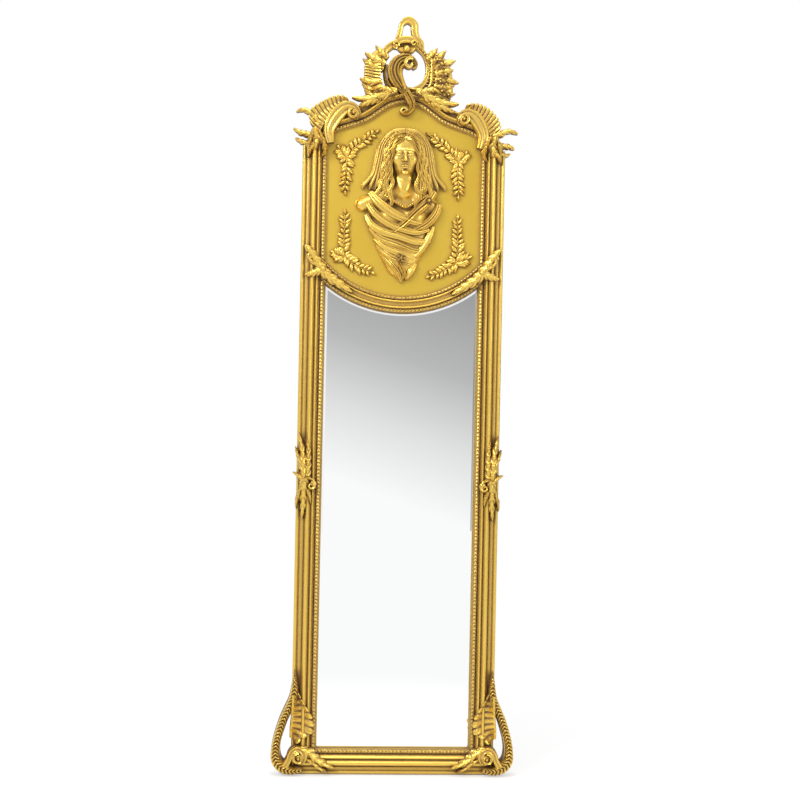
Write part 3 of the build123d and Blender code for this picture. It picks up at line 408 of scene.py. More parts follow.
def on_arc(profile, antiquing_and_shading, end_x, count=90):
    """A moulding along the divider. Its profile counts the radius r."""
    rings = np.empty((count, len(profile), 3))
    t = np.linspace(-1, 1, count)
    for k, (r, h) in enumerate(profile):
        angle = t * math.asin(end_x / r)
        rings[:, k, 0] = r * np.sin(angle)
        rings[:, k, 1] = h
        rings[:, k, 2] = ARC_Z - r * np.cos(angle)
    return swept(rings, np.tile(antiquing_and_shading, (count, 1)))


def divider_profile():
    """The divider's section: two beads beside a hollow between two seats."""
    a = PANEL_ARC_R
    b = GLASS_ARC_R
    near = a + 10
    far = b - 10
    bead_a = [(near, 33)] + bowed((near, 33), (near + 6, 33), 4.5)
    hollow = bowed((near + 6, 33), (far - 6, 33), -1.8)
    bead_b = bowed((far - 6, 33), (far, 33), 4.5)
    return [(a, PANEL_H), (a, SEAT_H), (near, SEAT_H)] + bead_a + hollow + bead_b + [
        (far, SEAT_H), (b, SEAT_H), (b, PANEL_H), (b - 10, PANEL_H), (b - 10, 2),
        (a + 10, 2), (a + 10, PANEL_H)]


def carved_strip(line, out, width, start=1.0):
    """A narrow strip of small overlapping leaves beside a line."""
    steps = np.hypot(np.diff(line[:, 0]), np.diff(line[:, 1]))
    run = np.concatenate([[0], np.cumsum(steps)])
    across = 9
    u = np.linspace(0, 1, across)
    wave = (run[:, None] / 8.5 + 0.55 * np.abs(u[None, :] - 0.5) * 2) % 1.0
    swell = (1 - wave) ** 0.7
    bow = 1 - np.abs(2 * u - 1) ** 2.6
    height = SEAT_H + 1.4 + 4.2 * bow[None, :] * (0.35 + 0.65 * swell)
    reach = start + u * width
    # Antiquing and painted shade: the low parts between the small leaves are browner.
    return walled(line[:, 0:1] + out[:, 0:1] * reach, line[:, 1:2] + out[:, 1:2] * reach,
                  height, SEAT_H, 1.15 - (height - SEAT_H) / 5.0)


def straight(a, b, step):
    """Even places from a to b."""
    count = max(2, int(math.dist(a, b) / step))
    t = np.linspace(0, 1, count + 1)[:, None]
    return np.array(a, float) * (1 - t) + np.array(b, float) * t


def side_strip(side, low, high):
    """A carved strip up one side of the opening."""
    line = straight((side * SIGHT, low), (side * SIGHT, high), STRIP_STEP)
    return carved_strip(line, np.tile([float(side), 0.0], (len(line), 1)), STRIP_W)


def arc_foot(radius):
    """Height at which an arc about the arcs' centre crosses the sight edge."""
    return ARC_Z - math.sqrt(radius ** 2 - SIGHT ** 2)


# Materials

def ramp(tree, stops, factor):
    """A colour ramp on a factor."""
    node = tree.nodes.new("ShaderNodeValToRGB")
    while len(node.color_ramp.elements) < len(stops):
        node.color_ramp.elements.new(0.5)
    for element, (place, colour) in zip(node.color_ramp.elements, stops):
        element.position = place
        element.color = (*colour, 1.0)
    tree.links.new(factor, node.inputs["Fac"])
    return node.outputs["Color"]


def noise(tree, scale, detail, coords, roughness=0.5):
    """Noise on object coordinates."""
    node = tree.nodes.new("ShaderNodeTexNoise")
    node.inputs["Scale"].default_value = scale
    node.inputs["Detail"].default_value = detail
    node.inputs["Roughness"].default_value = roughness
    tree.links.new(coords, node.inputs["Vector"])
    return node.outputs["Fac"]


def feed(tree, socket, value):
    """Give a socket another socket, a colour or a number."""
    if isinstance(value, bpy.types.NodeSocket):
        tree.links.new(value, socket)
    elif isinstance(value, tuple):
        socket.default_value = (*value, 1.0)
    else:
        socket.default_value = value


def mixed(tree, kind, factor, a, b):
    """Two colours mixed by a factor, which is a socket or a number."""
    node = tree.nodes.new("ShaderNodeMix")
    node.data_type = "RGBA"
    node.blend_type = kind
    feed(tree, node.inputs["Factor"], factor)
    feed(tree, node.inputs[6], a)
    feed(tree, node.inputs[7], b)
    return node.outputs[2]


def maths(tree, kind, a, b, clamp=False):
    """One sum on two sockets or numbers."""
    node = tree.nodes.new("ShaderNodeMath")
    node.operation = kind
    node.use_clamp = clamp
    feed(tree, node.inputs[0], a)
    feed(tree, node.inputs[1], b)
    return node.outputs[0]


def line_sum(tree, a, factor, b):
    """a times a factor plus b."""
    out = maths(tree, "MULTIPLY_ADD", a, factor)
    feed(tree, out.node.inputs[2], b)
    return out


def bumped(tree, shader, height, strength, distance):
    """A fine relief on a surface."""
    relief = tree.nodes.new("ShaderNodeBump")
    relief.inputs["Strength"].default_value = strength
    relief.inputs["Distance"].default_value = distance
    tree.links.new(height, relief.inputs["Height"])
    tree.links.new(relief.outputs["Normal"], shader.inputs["Normal"])


def new_material(name):
    """A material, its node tree and its main shader."""
    material = bpy.data.materials.new(name)
    material.use_nodes = True
    tree = material.node_tree
    return material, tree, tree.nodes["Principled BSDF"]


def gold(name, bright, deep, umber_antiquing_and_shade, roughness, antiquing_and_shade_weight, bump):
    """Burnished gold leaf over wood, browned in the hollows with antiquing and painted shade."""
    material, tree, shader = new_material(name)
    coords = tree.nodes.new("ShaderNodeTexCoord").outputs["Object"]
    antiquing_and_shade = tree.nodes.new("ShaderNodeAttribute")
    antiquing_and_shade.attribute_name = "antiquing_and_shade"
    cloud = noise(tree, 9.0, 4.0, coords)
    grain = noise(tree, 160.0, 3.0, coords, 0.65)
    gilt = mixed(tree, "MIX", cloud, bright, deep)
    # Painted shade: ambient occlusion browns the gold where neighbouring leaves and mouldings close
    # round it.
    occlusion = tree.nodes.new("ShaderNodeAmbientOcclusion")
    occlusion.samples = 6
    occlusion.inputs["Distance"].default_value = 0.014
    occlusion_painted_shade = maths(tree, "SUBTRACT", 1.0, occlusion.outputs["AO"])
    antiquing_and_painted_shade = line_sum(tree, antiquing_and_shade.outputs["Fac"], antiquing_and_shade_weight, maths(tree, "MULTIPLY", occlusion_painted_shade, 0.9))
    antiquing_and_painted_shade = maths(tree, "MULTIPLY", antiquing_and_painted_shade, maths(tree, "ADD", grain, 0.55), clamp=True)
    facing = tree.nodes.new("ShaderNodeSeparateXYZ")
    tree.links.new(tree.nodes.new("ShaderNodeNewGeometry").outputs["Normal"], facing.inputs[0])
    rear = maths(tree, "GREATER_THAN", facing.outputs["Y"], 0.8)
    # Umber mixed in by these levels paints antiquing and shade into the hollows.
    colour = mixed(tree, "MIX", antiquing_and_painted_shade, gilt, umber_antiquing_and_shade)
    colour = mixed(tree, "MIX", rear, colour, (0.33, 0.22, 0.12))
    tree.links.new(colour, shader.inputs["Base Color"])
    metal = maths(tree, "SUBTRACT", line_sum(tree, antiquing_and_painted_shade, -0.75, 0.95), rear, clamp=True)
    tree.links.new(metal, shader.inputs["Metallic"])
    rough = line_sum(tree, antiquing_and_painted_shade, 0.35, line_sum(tree, cloud, 0.12, roughness))
    tree.links.new(rough, shader.inputs["Roughness"])
    bumped(tree, shader, grain, bump, 0.0006)
    return material


GOLD_BRIGHT = (0.95, 0.68, 0.15)
GOLD_DEEP = (0.76, 0.48, 0.08)
# Umber for the hollows: antiquing and painted shade together. The sixth number sets how strongly each
# gilding browns there.
UMBER_ANTIQUING_AND_SHADE = (0.20, 0.105, 0.038)
carving = gold("carved_gilding", GOLD_BRIGHT, GOLD_DEEP, UMBER_ANTIQUING_AND_SHADE, 0.20, 1.05, 0.35)
moulding = gold("moulded_gilding", GOLD_BRIGHT, GOLD_DEEP, UMBER_ANTIQUING_AND_SHADE, 0.26, 0.5, 0.25)
ground = gold("panel_gilding", (0.93, 0.66, 0.10), (0.70, 0.44, 0.05), UMBER_ANTIQUING_AND_SHADE, 0.31, 0.3, 0.15)


def plain_material(name, colour, second, roughness, metallic, scale, bump):
    """A two-tone surface with a fine relief."""
    material, tree, shader = new_material(name)
    coords = tree.nodes.new("ShaderNodeTexCoord").outputs["Object"]
    mottle = noise(tree, scale, 5.0, coords)
    tree.links.new(mixed(tree, "MIX", mottle, colour, second), shader.inputs["Base Color"])
    shader.inputs["Metallic"].default_value = metallic
    shader.inputs["Roughness"].default_value = roughness
    bumped(tree, shader, noise(tree, scale * 6, 3.0, coords), bump, 0.0004)
    return material


steel = plain_material("zinc_plate", (0.60, 0.60, 0.58), (0.48, 0.49, 0.50), 0.38, 0.9, 120, 0.2)
fibreboard = plain_material("raw_fibreboard", (0.27, 0.17, 0.09), (0.20, 0.12, 0.06),
                            0.85, 0.0, 300, 0.5)
bare_wood = plain_material("bare_beech", (0.50, 0.34, 0.20), (0.42, 0.27, 0.15),
                           0.7, 0.0, 40, 0.3)
silvering, glass_tree, glass_shader = new_material("silvered_glass")
glass_shader.inputs["Metallic"].default_value = 1.0
glass_shader.inputs["Roughness"].default_value = 0.015
glass_coords = glass_tree.nodes.new("ShaderNodeTexCoord").outputs["Object"]
glass_tint = mixed(glass_tree, "MIX", noise(glass_tree, 2.0, 1.0, glass_coords),
                   (0.955, 0.965, 0.96), (0.945, 0.955, 0.95))
glass_tree.links.new(glass_tint, glass_shader.inputs["Base Color"])

for node_name, material in (
        ("mirror_glass", silvering), ("panel_board", ground), ("backing_board", fibreboard),
        ("corner_braces", steel), ("joint_plates", steel), ("plate_screws", steel),
        ("backing_clips", steel), ("panel_clips", steel), ("clip_screws", steel),
        ("hanger_plate_left", steel), ("hanger_plate_right", steel), ("hanger_screws", steel),
        ("hanger_ring_left", steel), ("hanger_ring_right", steel),
        ("joint_dowels", bare_wood)):
    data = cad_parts[node_name].data
    data.materials.clear()
    data.materials.append(material)

# Frame

def shown_moulding(name, form, node):
    """A moulding of the frame in its own finish."""
    shown(name, [form], node, moulding, 35)


for side, name in SIDES:
    shown_moulding(f"side_moulding_{name}", make_stile(side), f"stile_{name}")
shown_moulding("bottom_moulding", make_bottom(), "bottom_rail")
for side, name in SIDES:
    shown_moulding(f"head_moulding_{name}", along_head(head_profile(), side),
                   f"head_rail_{name}")
arc_profile = divider_profile()
# Antiquing and painted shade on the divider: browner the lower its section sits.
arc_antiquing_and_shading = np.array([np.clip((37.5 - h) / 9, 0, 1) for r, h in arc_profile])
shown_moulding("divider_moulding", on_arc(arc_profile, arc_antiquing_and_shading, DIVIDER_END_X), "divider_rail")

STRIP_STEP = 1.1
glass_top = arc_foot(GLASS_ARC_R)
for side, name in SIDES:
    shown(f"glass_leaf_strip_{name}", [side_strip(side, 50, glass_top + 6)],
          f"glass_strip_{name}", carving)
    shown(f"panel_leaf_strip_{name}", [side_strip(side, arc_foot(PANEL_ARC_R) - 4, STILE_TOP)],
          f"panel_strip_{name}", carving)
    line, out = head_line(side, STRIP_STEP)
    shown(f"head_leaf_strip_{name}", [carved_strip(line, out, 10)],
          f"panel_strip_head_{name}", carving)
line = straight((-SIGHT - 10, BOTTOM_W), (SIGHT + 10, BOTTOM_W), STRIP_STEP)
out = np.tile([0.0, -1.0], (len(line), 1))
shown("bottom_leaf_strip", [carved_strip(line, out, STRIP_W)], "glass_strip_bottom", carving)
for name, node_name, radius in (("upper_arc_leaf_strip", "panel_strip_bottom", PANEL_ARC_R),
                                ("lower_arc_leaf_strip", "glass_strip_top",
                                 GLASS_ARC_R - 10.5)):
    span = math.asin(ARC_STRIP_END_X / radius)
    angles = np.linspace(-span, span, int(2 * span * radius / STRIP_STEP))
    line = np.stack([radius * np.sin(angles), ARC_Z - radius * np.cos(angles)], 1)
    out = np.stack([np.sin(angles), -np.cos(angles)], 1)
    shown(name, [carved_strip(line, out, 9, 0.8)], node_name, carving)


# Ornament

def at_place(stroke, x, z, side=1):
    """A stroke moved to its anchor. Side -1 turns it to the left."""
    return [(side * (place[0] + x), place[1] + z, *place[2:]) for place in stroke]


LOOP = [(-25, 142, 6), (-19, 158, 7), (-15, 176, 6), (-11, 191, 6.5), (3, 200, 9),
        (17, 191, 9), (19, 174, 9), (23, 157, 9), (33, 146, 8), (37, 130, 5)]
RING_RIGHT = [(-12, 143, 6), (6, 143, 7), (28, 134, 7), (44, 117, 6), (52, 91, 5.5),
              (50, 67, 5.5), (42, 49, 6.5), (28, 37, 8), (12, 29, 9)]
RING_LEFT = [(2, 143, 7), (-28, 142, 9), (-48, 127, 8), (-56, 108, 5), (-51, 88, 4),
             (-50, 66, 4), (-43, 48, 6), (-28, 30, 8), (-10, 24, 9)]
PLUME = [(0, 24, 9), (-14, 42, 13), (-26, 62, 16), (-28, 82, 16), (-19, 99, 14),
         (-1, 107, 11), (14, 102, 8), (21, 91, 6), (14, 83, 3.5)]
TOP_CURL = [(-27, 128, 5), (-24, 141, 7), (-10, 149, 9), (8, 149, 9), (20, 143, 7),
            (18, 134, 3)]
CUP = [(-20, 131, 5), (-10, 127, 8), (2, 126, 10), (13, 129, 8), (20, 134, 4)]
TENDRIL = [(-46, 90, 2.5), (-49, 66, 3), (-42, 47, 3.5), (-27, 28, 3.5), (-12, 14, 3)]
RING_EDGE = [(33, 131), (48, 112), (56, 91), (56, 66), (49, 46)]
PENDANT = [(-6, 34, 8), (3, 20, 10), (12, 4, 10), (15, -9, 7), (8, -21, 5), (-3, -24, 4.5),
           (-11, -21, 3)]
WING_LEFT = [(-56, 126, 9), (-70, 110, 14), (-80, 92, 16), (-83, 74, 15), (-82, 56, 15),
             (-76, 36, 20), (-70, 18, 20), (-54, 6, 14)]
WING_LEFT_TIPS = [
    [(-44, 106, 8), (-60, 118, 9), (-73, 136, 1)],
    [(-50, 92, 10), (-74, 102, 12), (-98, 118, 1)],
    [(-54, 80, 9), (-80, 88, 11), (-103, 104, 1)],
    [(-56, 48, 10), (-84, 48, 12), (-109, 57, 1)],
    [(-52, 32, 11), (-80, 30, 12), (-104, 46, 1)],
    [(-50, 16, 11), (-78, 16, 12), (-98, 32, 1)],
]
FLUTED_LEFT = ([(-62, 92), (-60, 78), (-60, 64), (-62, 48)],
               [(-97, 96), (-99, 84), (-99, 70), (-100, 56)])
BASE_LEFT = [(-22, 30, 10), (-52, 18, 14), (-80, 8, 12), (-106, 7, 7), (-127, 10, 2)]
WING_RIGHT = [(56, 126, 9), (68, 110, 15), (80, 92, 22), (85, 70, 25), (86, 48, 26),
              (85, 26, 25), (70, 6, 18)]
WING_RIGHT_TIPS = [
    [(48, 106, 8), (62, 118, 10), (73, 135, 1)],
    [(58, 98, 10), (76, 112, 12), (94, 129, 1)],
    [(64, 86, 12), (90, 97, 13), (117, 107, 1)],
    [(68, 72, 11), (94, 78, 12), (112, 84, 1)],
    [(68, 58, 12), (98, 58, 12), (126, 54, 1)],
    [(66, 42, 11), (94, 42, 12), (116, 48, 1)],
    [(60, 24, 12), (90, 24, 12), (118, 28, 1)],
]
FLOWERS_RIGHT = [(69, 109, 9), (83, 94, 12), (92, 70, 12), (80, 52, 9), (94, 46, 9),
                 (84, 30, 11), (100, 22, 8), (70, 14, 9)]
INNER_RIM_RIGHT = [(60, 112), (65, 94), (66, 70), (63, 50), (54, 34)]
INNER_BAND_RIGHT = [(54, 116, 4), (61, 98, 6), (62, 72, 7), (60, 50, 6), (50, 34, 4)]
BASE_RIGHT = [(24, 30, 10), (54, 16, 14), (84, 4, 12), (108, 1, 7), (126, 2, 2)]


def crest(stroke, low, high, **kind):
    """A carved band about the crown of the head opening."""
    return blade(at_place(stroke, 0, PEAK_Z), low, high, **kind)


def leaf(stroke, low, high, lobes=4, depth=0.3, ridge=0.3):
    """An acanthus leaf: a rib down its middle and lobes that lean to the tip."""
    return blade(stroke, low, high, ridge=ridge, left=(lobes, depth), right=(lobes, depth),
                 edge=0.5)


def crest_leaf(stroke, low, high, lobes=4, depth=0.3):
    """An acanthus leaf about the crown of the head opening."""
    return leaf(at_place(stroke, 0, PEAK_Z), low, high, lobes, depth)


def crown(places, x=0, z=PEAK_Z, side=1):
    """Places without widths, moved to their anchor."""
    return [(side * (place[0] + x), place[1] + z) for place in places]


def flowers(spots, x, z, side, low, high, petals=6):
    """Rosettes with a button in each."""
    forms = []
    for u, v, radius in spots:
        forms.append(dome(side * (u + x), v + z, radius, low, high, petals=petals))
        forms.append(dome(side * (u + x), v + z, radius * 0.33, high - 5, high + 2))
    return forms


shown("crest_ring", [
    crest(LOOP, 12, 34, hollow=0.45),
    crest(RING_RIGHT, 12, 35, hollow=0.35),
    crest(RING_LEFT, 12, 35, hollow=0.45),
] + beads(crown(RING_EDGE), 3.4, 20, 38, 7.2), "crest_frame", carving)
shown("crest_leaf", [
    crest(PLUME, 18, 56, flutes=3, groove=0.26),
    blade(spiral(7, PEAK_Z + 91, 15, 4, 0.9, 6, 60), 30, 62, hollow=0.4),
    crest(TENDRIL, 18, 44, ridge=0.3),
    crest([(2, 22, 5), (-8, 46, 6), (-14, 66, 6), (-12, 82, 5), (-2, 92, 3)], 24, 60, ridge=0.3),
], "crest_plume", carving)
shown("crest_scroll", [
    crest(TOP_CURL, 22, 50, hollow=0.45),
    crest(CUP, 22, 40),
    dome(0, PEAK_Z + 127, 12, 24, 50),
    blade(spiral(16, PEAK_Z + 141, 8, 2.5, 1.0, 3.5, 0), 26, 54, hollow=0.3),
    blade(spiral(-24, PEAK_Z + 137, 8, 2.5, -1.0, 3.5, 180), 26, 52, hollow=0.3),
], "crest_top_curl", carving)
shown("crest_drop", [
    crest(PENDANT, 24, 60, flutes=2, groove=0.26),
    blade(spiral(-6, PEAK_Z - 20, 9, 2.5, 1.0, 3.6, 0), 30, 58, hollow=0.3),
] + flowers([(-4, 30, 10)], 0, PEAK_Z, 1, 40, 62), "crest_pendant", carving)
shown("crest_side_left", [
    crest(WING_LEFT, 14, 38),
    fan(crown(FLUTED_LEFT[0]), crown(FLUTED_LEFT[1]), 14, 46, 6, 0.2, 0.2, 0.2),
    crest_leaf(BASE_LEFT, 26, 52, 5),
    crest_leaf([(-26, 22, 8), (-48, 30, 9), (-66, 34, 8), (-84, 26, 1)], 24, 56, 4),
    crest_leaf([(-60, 6, 8), (-80, 2, 9), (-100, -6, 7), (-112, -12, 1)], 26, 50),
] + [crest_leaf(tip, 16, 43 + 3 * (k % 2), 3, 0.25)
       for k, tip in enumerate(WING_LEFT_TIPS)]
    + flowers([(-32, 20, 10), (-66, 8, 9)], 0, PEAK_Z, 1, 34, 56), "crest_wing_left", carving)
shown("crest_side_right", [
    crest(WING_RIGHT, 14, 36),
    crest(INNER_BAND_RIGHT, 14, 36),
    crest_leaf(BASE_RIGHT, 26, 52, 5),
    crest_leaf([(28, 22, 8), (50, 30, 9), (68, 32, 8), (86, 22, 1)], 24, 55, 4),
    crest_leaf([(60, 2, 8), (84, -6, 9), (104, -14, 7), (118, -20, 1)], 26, 50),
] + [crest_leaf(tip, 16, 40 + 3 * (k % 2), 3, 0.25)
       for k, tip in enumerate(WING_RIGHT_TIPS)]
    + flowers(FLOWERS_RIGHT, 0, PEAK_Z, 1, 26, 49, 5)
    + flowers([(32, 20, 10)], 0, PEAK_Z, 1, 34, 56)
    + beads(crown(INNER_RIM_RIGHT), 3.2, 22, 42, 7.0), "crest_wing_right", carving)

SHOULDER_LEFT = [(-6, 6, 8), (-2, 34, 12), (-10, 56, 15), (-24, 76, 16), (-42, 90, 14),
                 (-60, 88, 11), (-70, 76, 7), (-66, 66, 4), (-56, 66, 2)]
SHELL_LINES_LEFT = ([(-50, 96), (-38, 92), (-22, 84), (-8, 72), (6, 56), (14, 40), (20, 26)],
                    [(-46, 113), (-32, 120), (-12, 118), (8, 110), (24, 100), (38, 90),
                     (46, 76), (42, 52)])
SHOULDER_LEFT_TIP = [(-52, 96, 8), (-40, 108, 6), (-35, 119, 1)]
SHOULDER_LEFT_EARS = [
    [(20, 50, 8), (34, 70, 7), (48, 81, 5), (62, 84, 4), (75, 79, 1.5)],
    [(32, 22, 8), (50, 27, 6), (66, 31, 5), (81, 40, 1.5)],
    [(34, 2, 8), (50, 5, 6), (66, 11, 4), (76, 17, 1.5)],
]
SHOULDER_LEFT_LEAF = [(34, 38, 9), (25, 16, 12), (30, 0, 12), (42, -12, 7), (45, -30, 2)]
SHOULDER_RIGHT = [(-2, 2, 8), (4, 28, 12), (-2, 50, 14), (-16, 72, 15), (-32, 82, 13),
                  (-46, 80, 10), (-55, 69, 7), (-51, 59, 4), (-42, 59, 2)]
SHELL_LINES_RIGHT = ([(-40, 90), (-28, 86), (-12, 78), (2, 66), (12, 52), (18, 36), (22, 22)],
                     [(-38, 106), (-22, 111), (-4, 109), (14, 101), (30, 88), (42, 72),
                      (46, 56), (43, 42)])
SHOULDER_RIGHT_TIP = [(-38, 90, 8), (-28, 100, 6), (-24, 108, 1)]
SHOULDER_RIGHT_EARS = [
    [(26, 34, 9), (44, 40, 7), (62, 48, 5), (76, 47, 4), (88, 42, 1.5)],
    [(34, 12, 8), (52, 12, 6), (68, 11, 5), (80, 5, 1.5)],
    [(34, -6, 8), (48, -8, 6), (60, -10, 4), (70, -6, 1.5)],
]
SHOULDER_RIGHT_LEAF = [(34, 30, 9), (26, 8, 12), (30, -8, 12), (42, -18, 7), (46, -32, 2)]


def make_shoulder(side, name, scroll, lines, tip, ears, drape, ears_up, eye):
    """A corner: scroll, shell and tip in one piece, leaf and ears in another."""
    def corner(stroke):
        return at_place(stroke, SIGHT, STILE_TOP, side)

    inner, outer = (crown(line, SIGHT, STILE_TOP, side) for line in lines)
    wind = 1 if side > 0 else -1
    eye_x = side * (SIGHT + eye[0])
    upper = [
        blade([(x, z, half * 1.12) for x, z, half in corner(scroll)], 14, 60, hollow=0.45,
              flutes=1, groove=0.15),
        blade(spiral(eye_x, STILE_TOP + eye[1], 13, 3.5, -1.3 * wind, 4.6,
                     90 - 20 * wind), 24, 64, hollow=0.35),
        dome(eye_x, STILE_TOP + eye[1], 4.5, 40, 64),
        leaf(corner(tip), 12, 40),
        fan(inner, outer, 12, 46, 12, 0.13, 0.35, 0.13),
    ]
    ears = [[(x, z, half * 1.35) for x, z, half in ear] for ear in ears]
    upper += [leaf(corner(s), 12, 38, 4) for s in ears[:ears_up]]
    lower = [leaf(corner(drape), 14, 58, 4, 0.35),
             leaf(corner([(30, 34, 8), (40, 12, 9), (44, -6, 7), (42, -22, 1)]), 14, 50, 4),
             leaf(corner([(22, 30, 7), (10, 8, 8), (6, -14, 6), (14, -28, 1)]), 20, 54, 4)]
    lower += [leaf(corner(s), 12, 38, 4) for s in ears[ears_up:]]
    shown(f"corner_scroll_{name}", upper, f"shoulder_scroll_{name}", carving)
    shown(f"corner_leaf_{name}", lower, f"shoulder_leaf_{name}", carving)


make_shoulder(-1, "left", SHOULDER_LEFT, SHELL_LINES_LEFT, SHOULDER_LEFT_TIP,
              SHOULDER_LEFT_EARS, SHOULDER_LEFT_LEAF, 1, (-59, 75))
make_shoulder(1, "right", SHOULDER_RIGHT, SHELL_LINES_RIGHT, SHOULDER_RIGHT_TIP,
              SHOULDER_RIGHT_EARS, SHOULDER_RIGHT_LEAF, 0, (-45, 68))

CLASP = [
    [(48, 88, 4), (38, 78, 9), (26, 62, 11), (15, 45, 12), (4, 30, 13)],
    [(2, 32, 11), (20, 27, 11), (34, 22, 9), (47, 19, 3)],
    [(6, 30, 13), (-12, 14, 13), (-34, 0, 11), (-64, -19, 2.5)],
]
SIDE_LEAF = [
    [(-18, -6, 12), (-16, 35, 11), (-12, 72, 7), (-4, 106, 1.5)],
    [(-26, 5, 9), (-27, 40, 8), (-27, 68, 6), (-23, 92, 1.5)],
    [(-14, 0, 8), (-2, 8, 5), (9, 13, 1.5)],
    [(-20, 0, 12), (-18, -30, 11), (-17, -62, 8), (-15, -95, 1.5)],
    [(-26, -26, 7), (-32, -44, 5), (-35, -60, 1.5)],
    [(-26, 2, 5), (-38, -4, 4.5), (-44, -15, 4), (-39, -25, 3.5), (-29, -24, 2.5)],
]
FOOT_SCROLL = [(-6, 246, 2), (-6, 222, 6), (-6, 200, 9), (-2, 178, 10), (8, 155, 10),
               (18, 132, 10), (26, 108, 10), (33, 82, 10), (36, 57, 11), (33, 34, 13),
               (18, 18, 13), (-4, 12, 10), (-26, 14, 7)]
FOOT_VOLUTE = [(14, 22, 9), (5, 38, 8), (-1, 54, 8), (-11, 63, 8), (-24, 61, 8),
               (-32, 48, 8), (-28, 35, 6), (-18, 31, 5)]
FOOT_LEAF = [(-20, 66, 8), (-42, 56, 12), (-60, 40, 11), (-82, 27, 8), (-102, 19, 2)]

FOOT_SHELL_LINES = ([(-4, 192), (-3, 165), (-2, 135), (0, 112), (0, 92)],
                    [(-14, 198), (-32, 168), (-50, 136), (-51, 104), (-34, 92), (-12, 74)])
for side, name in SIDES:
    wind = 1 if side > 0 else -1
    shown(f"clasp_leaves_{name}", [
        leaf(at_place(s, SIGHT, glass_top, side), 33, 56, 4) for s in CLASP] + [
        dome(side * (SIGHT + 5), glass_top + 33, 9, 40, 60),
        leaf(at_place([(10, 36, 6), (26, 46, 6), (38, 58, 5), (46, 70, 1)], SIGHT, glass_top,
                      side), 33, 54, 3),
        blade(spiral(side * (SIGHT + 36), glass_top + 66, 8, 2.5, 1.1 * wind, 3.2), 33, 55,
              hollow=0.3),
    ], f"clasp_{name}", carving)
    shown(f"side_acanthus_{name}", [
        leaf(at_place(s, HALF_W, SIDE_LEAF_Z, side), 26, 54, 5, 0.35) for s in SIDE_LEAF] + [
        blade(spiral(side * (HALF_W - 35), SIDE_LEAF_Z - 17, 9, 2.5, 1.3 * wind, 3.4, 90), 28,
              58, hollow=0.3),
        dome(side * (HALF_W - 20), SIDE_LEAF_Z + 2, 8, 36, 58, petals=5),
        leaf(at_place([(-18, 10, 6), (-10, 36, 6), (-2, 56, 5), (4, 74, 1)], HALF_W,
                      SIDE_LEAF_Z, side), 24, 50, 4),
        leaf(at_place([(-16, -10, 6), (-8, -34, 6), (-2, -54, 5), (0, -72, 1)], HALF_W,
                      SIDE_LEAF_Z, side), 24, 50, 4),
    ], f"side_leaf_{name}", carving)
    foot = [
        blade(at_place(FOOT_SCROLL, HALF_W, 0, side), 6, 58, hollow=0.15, ribs=(34, 0.3, 1.1)),
        blade(at_place(FOOT_VOLUTE, HALF_W, 0, side), 20, 62, hollow=0.45),
        blade(spiral(side * (HALF_W - 18), 43, 14, 4, -1.3 * wind, 4.4, 90), 24, 64, hollow=0.35),
        dome(side * (HALF_W - 18), 43, 5, 40, 64),
        leaf(at_place(FOOT_LEAF, HALF_W, 0, side), 24, 56, 5),
        leaf(at_place([(-30, 44, 6), (-52, 32, 8), (-72, 16, 6), (-88, 8, 1)], HALF_W, 0, side),
             24, 50, 4),
    ]
    foot += [dome(side * (HALF_W - 6), z, radius, 20, 48)
             for z, radius in ((206, 6), (217, 5), (227, 4))]
    shown(f"foot_c_scroll_{name}", foot, f"foot_scroll_{name}", carving)
    inner, outer = (crown(line, HALF_W, 0, side) for line in FOOT_SHELL_LINES)
    shown(f"foot_rocaille_{name}", [
        fan(inner, outer, 20, 60, 8, 0.16, 0.5, 0.18),
        blade([(*place, 3.8) for place in inner], 20, 58, edge=0.6)],
          f"foot_shell_{name}", carving)

# Bust: body and head are blended rounded forms on a grid, (x, h, z) about the
# bottom middle of the relief. The head has the proportions of a drawing manual.

FAR = 12.0
HEAD_H = 35.0
HEAD_Z = 1467.0
HEAD_TALL = 106.0
CHIN_Z = HEAD_Z - HEAD_TALL / 2


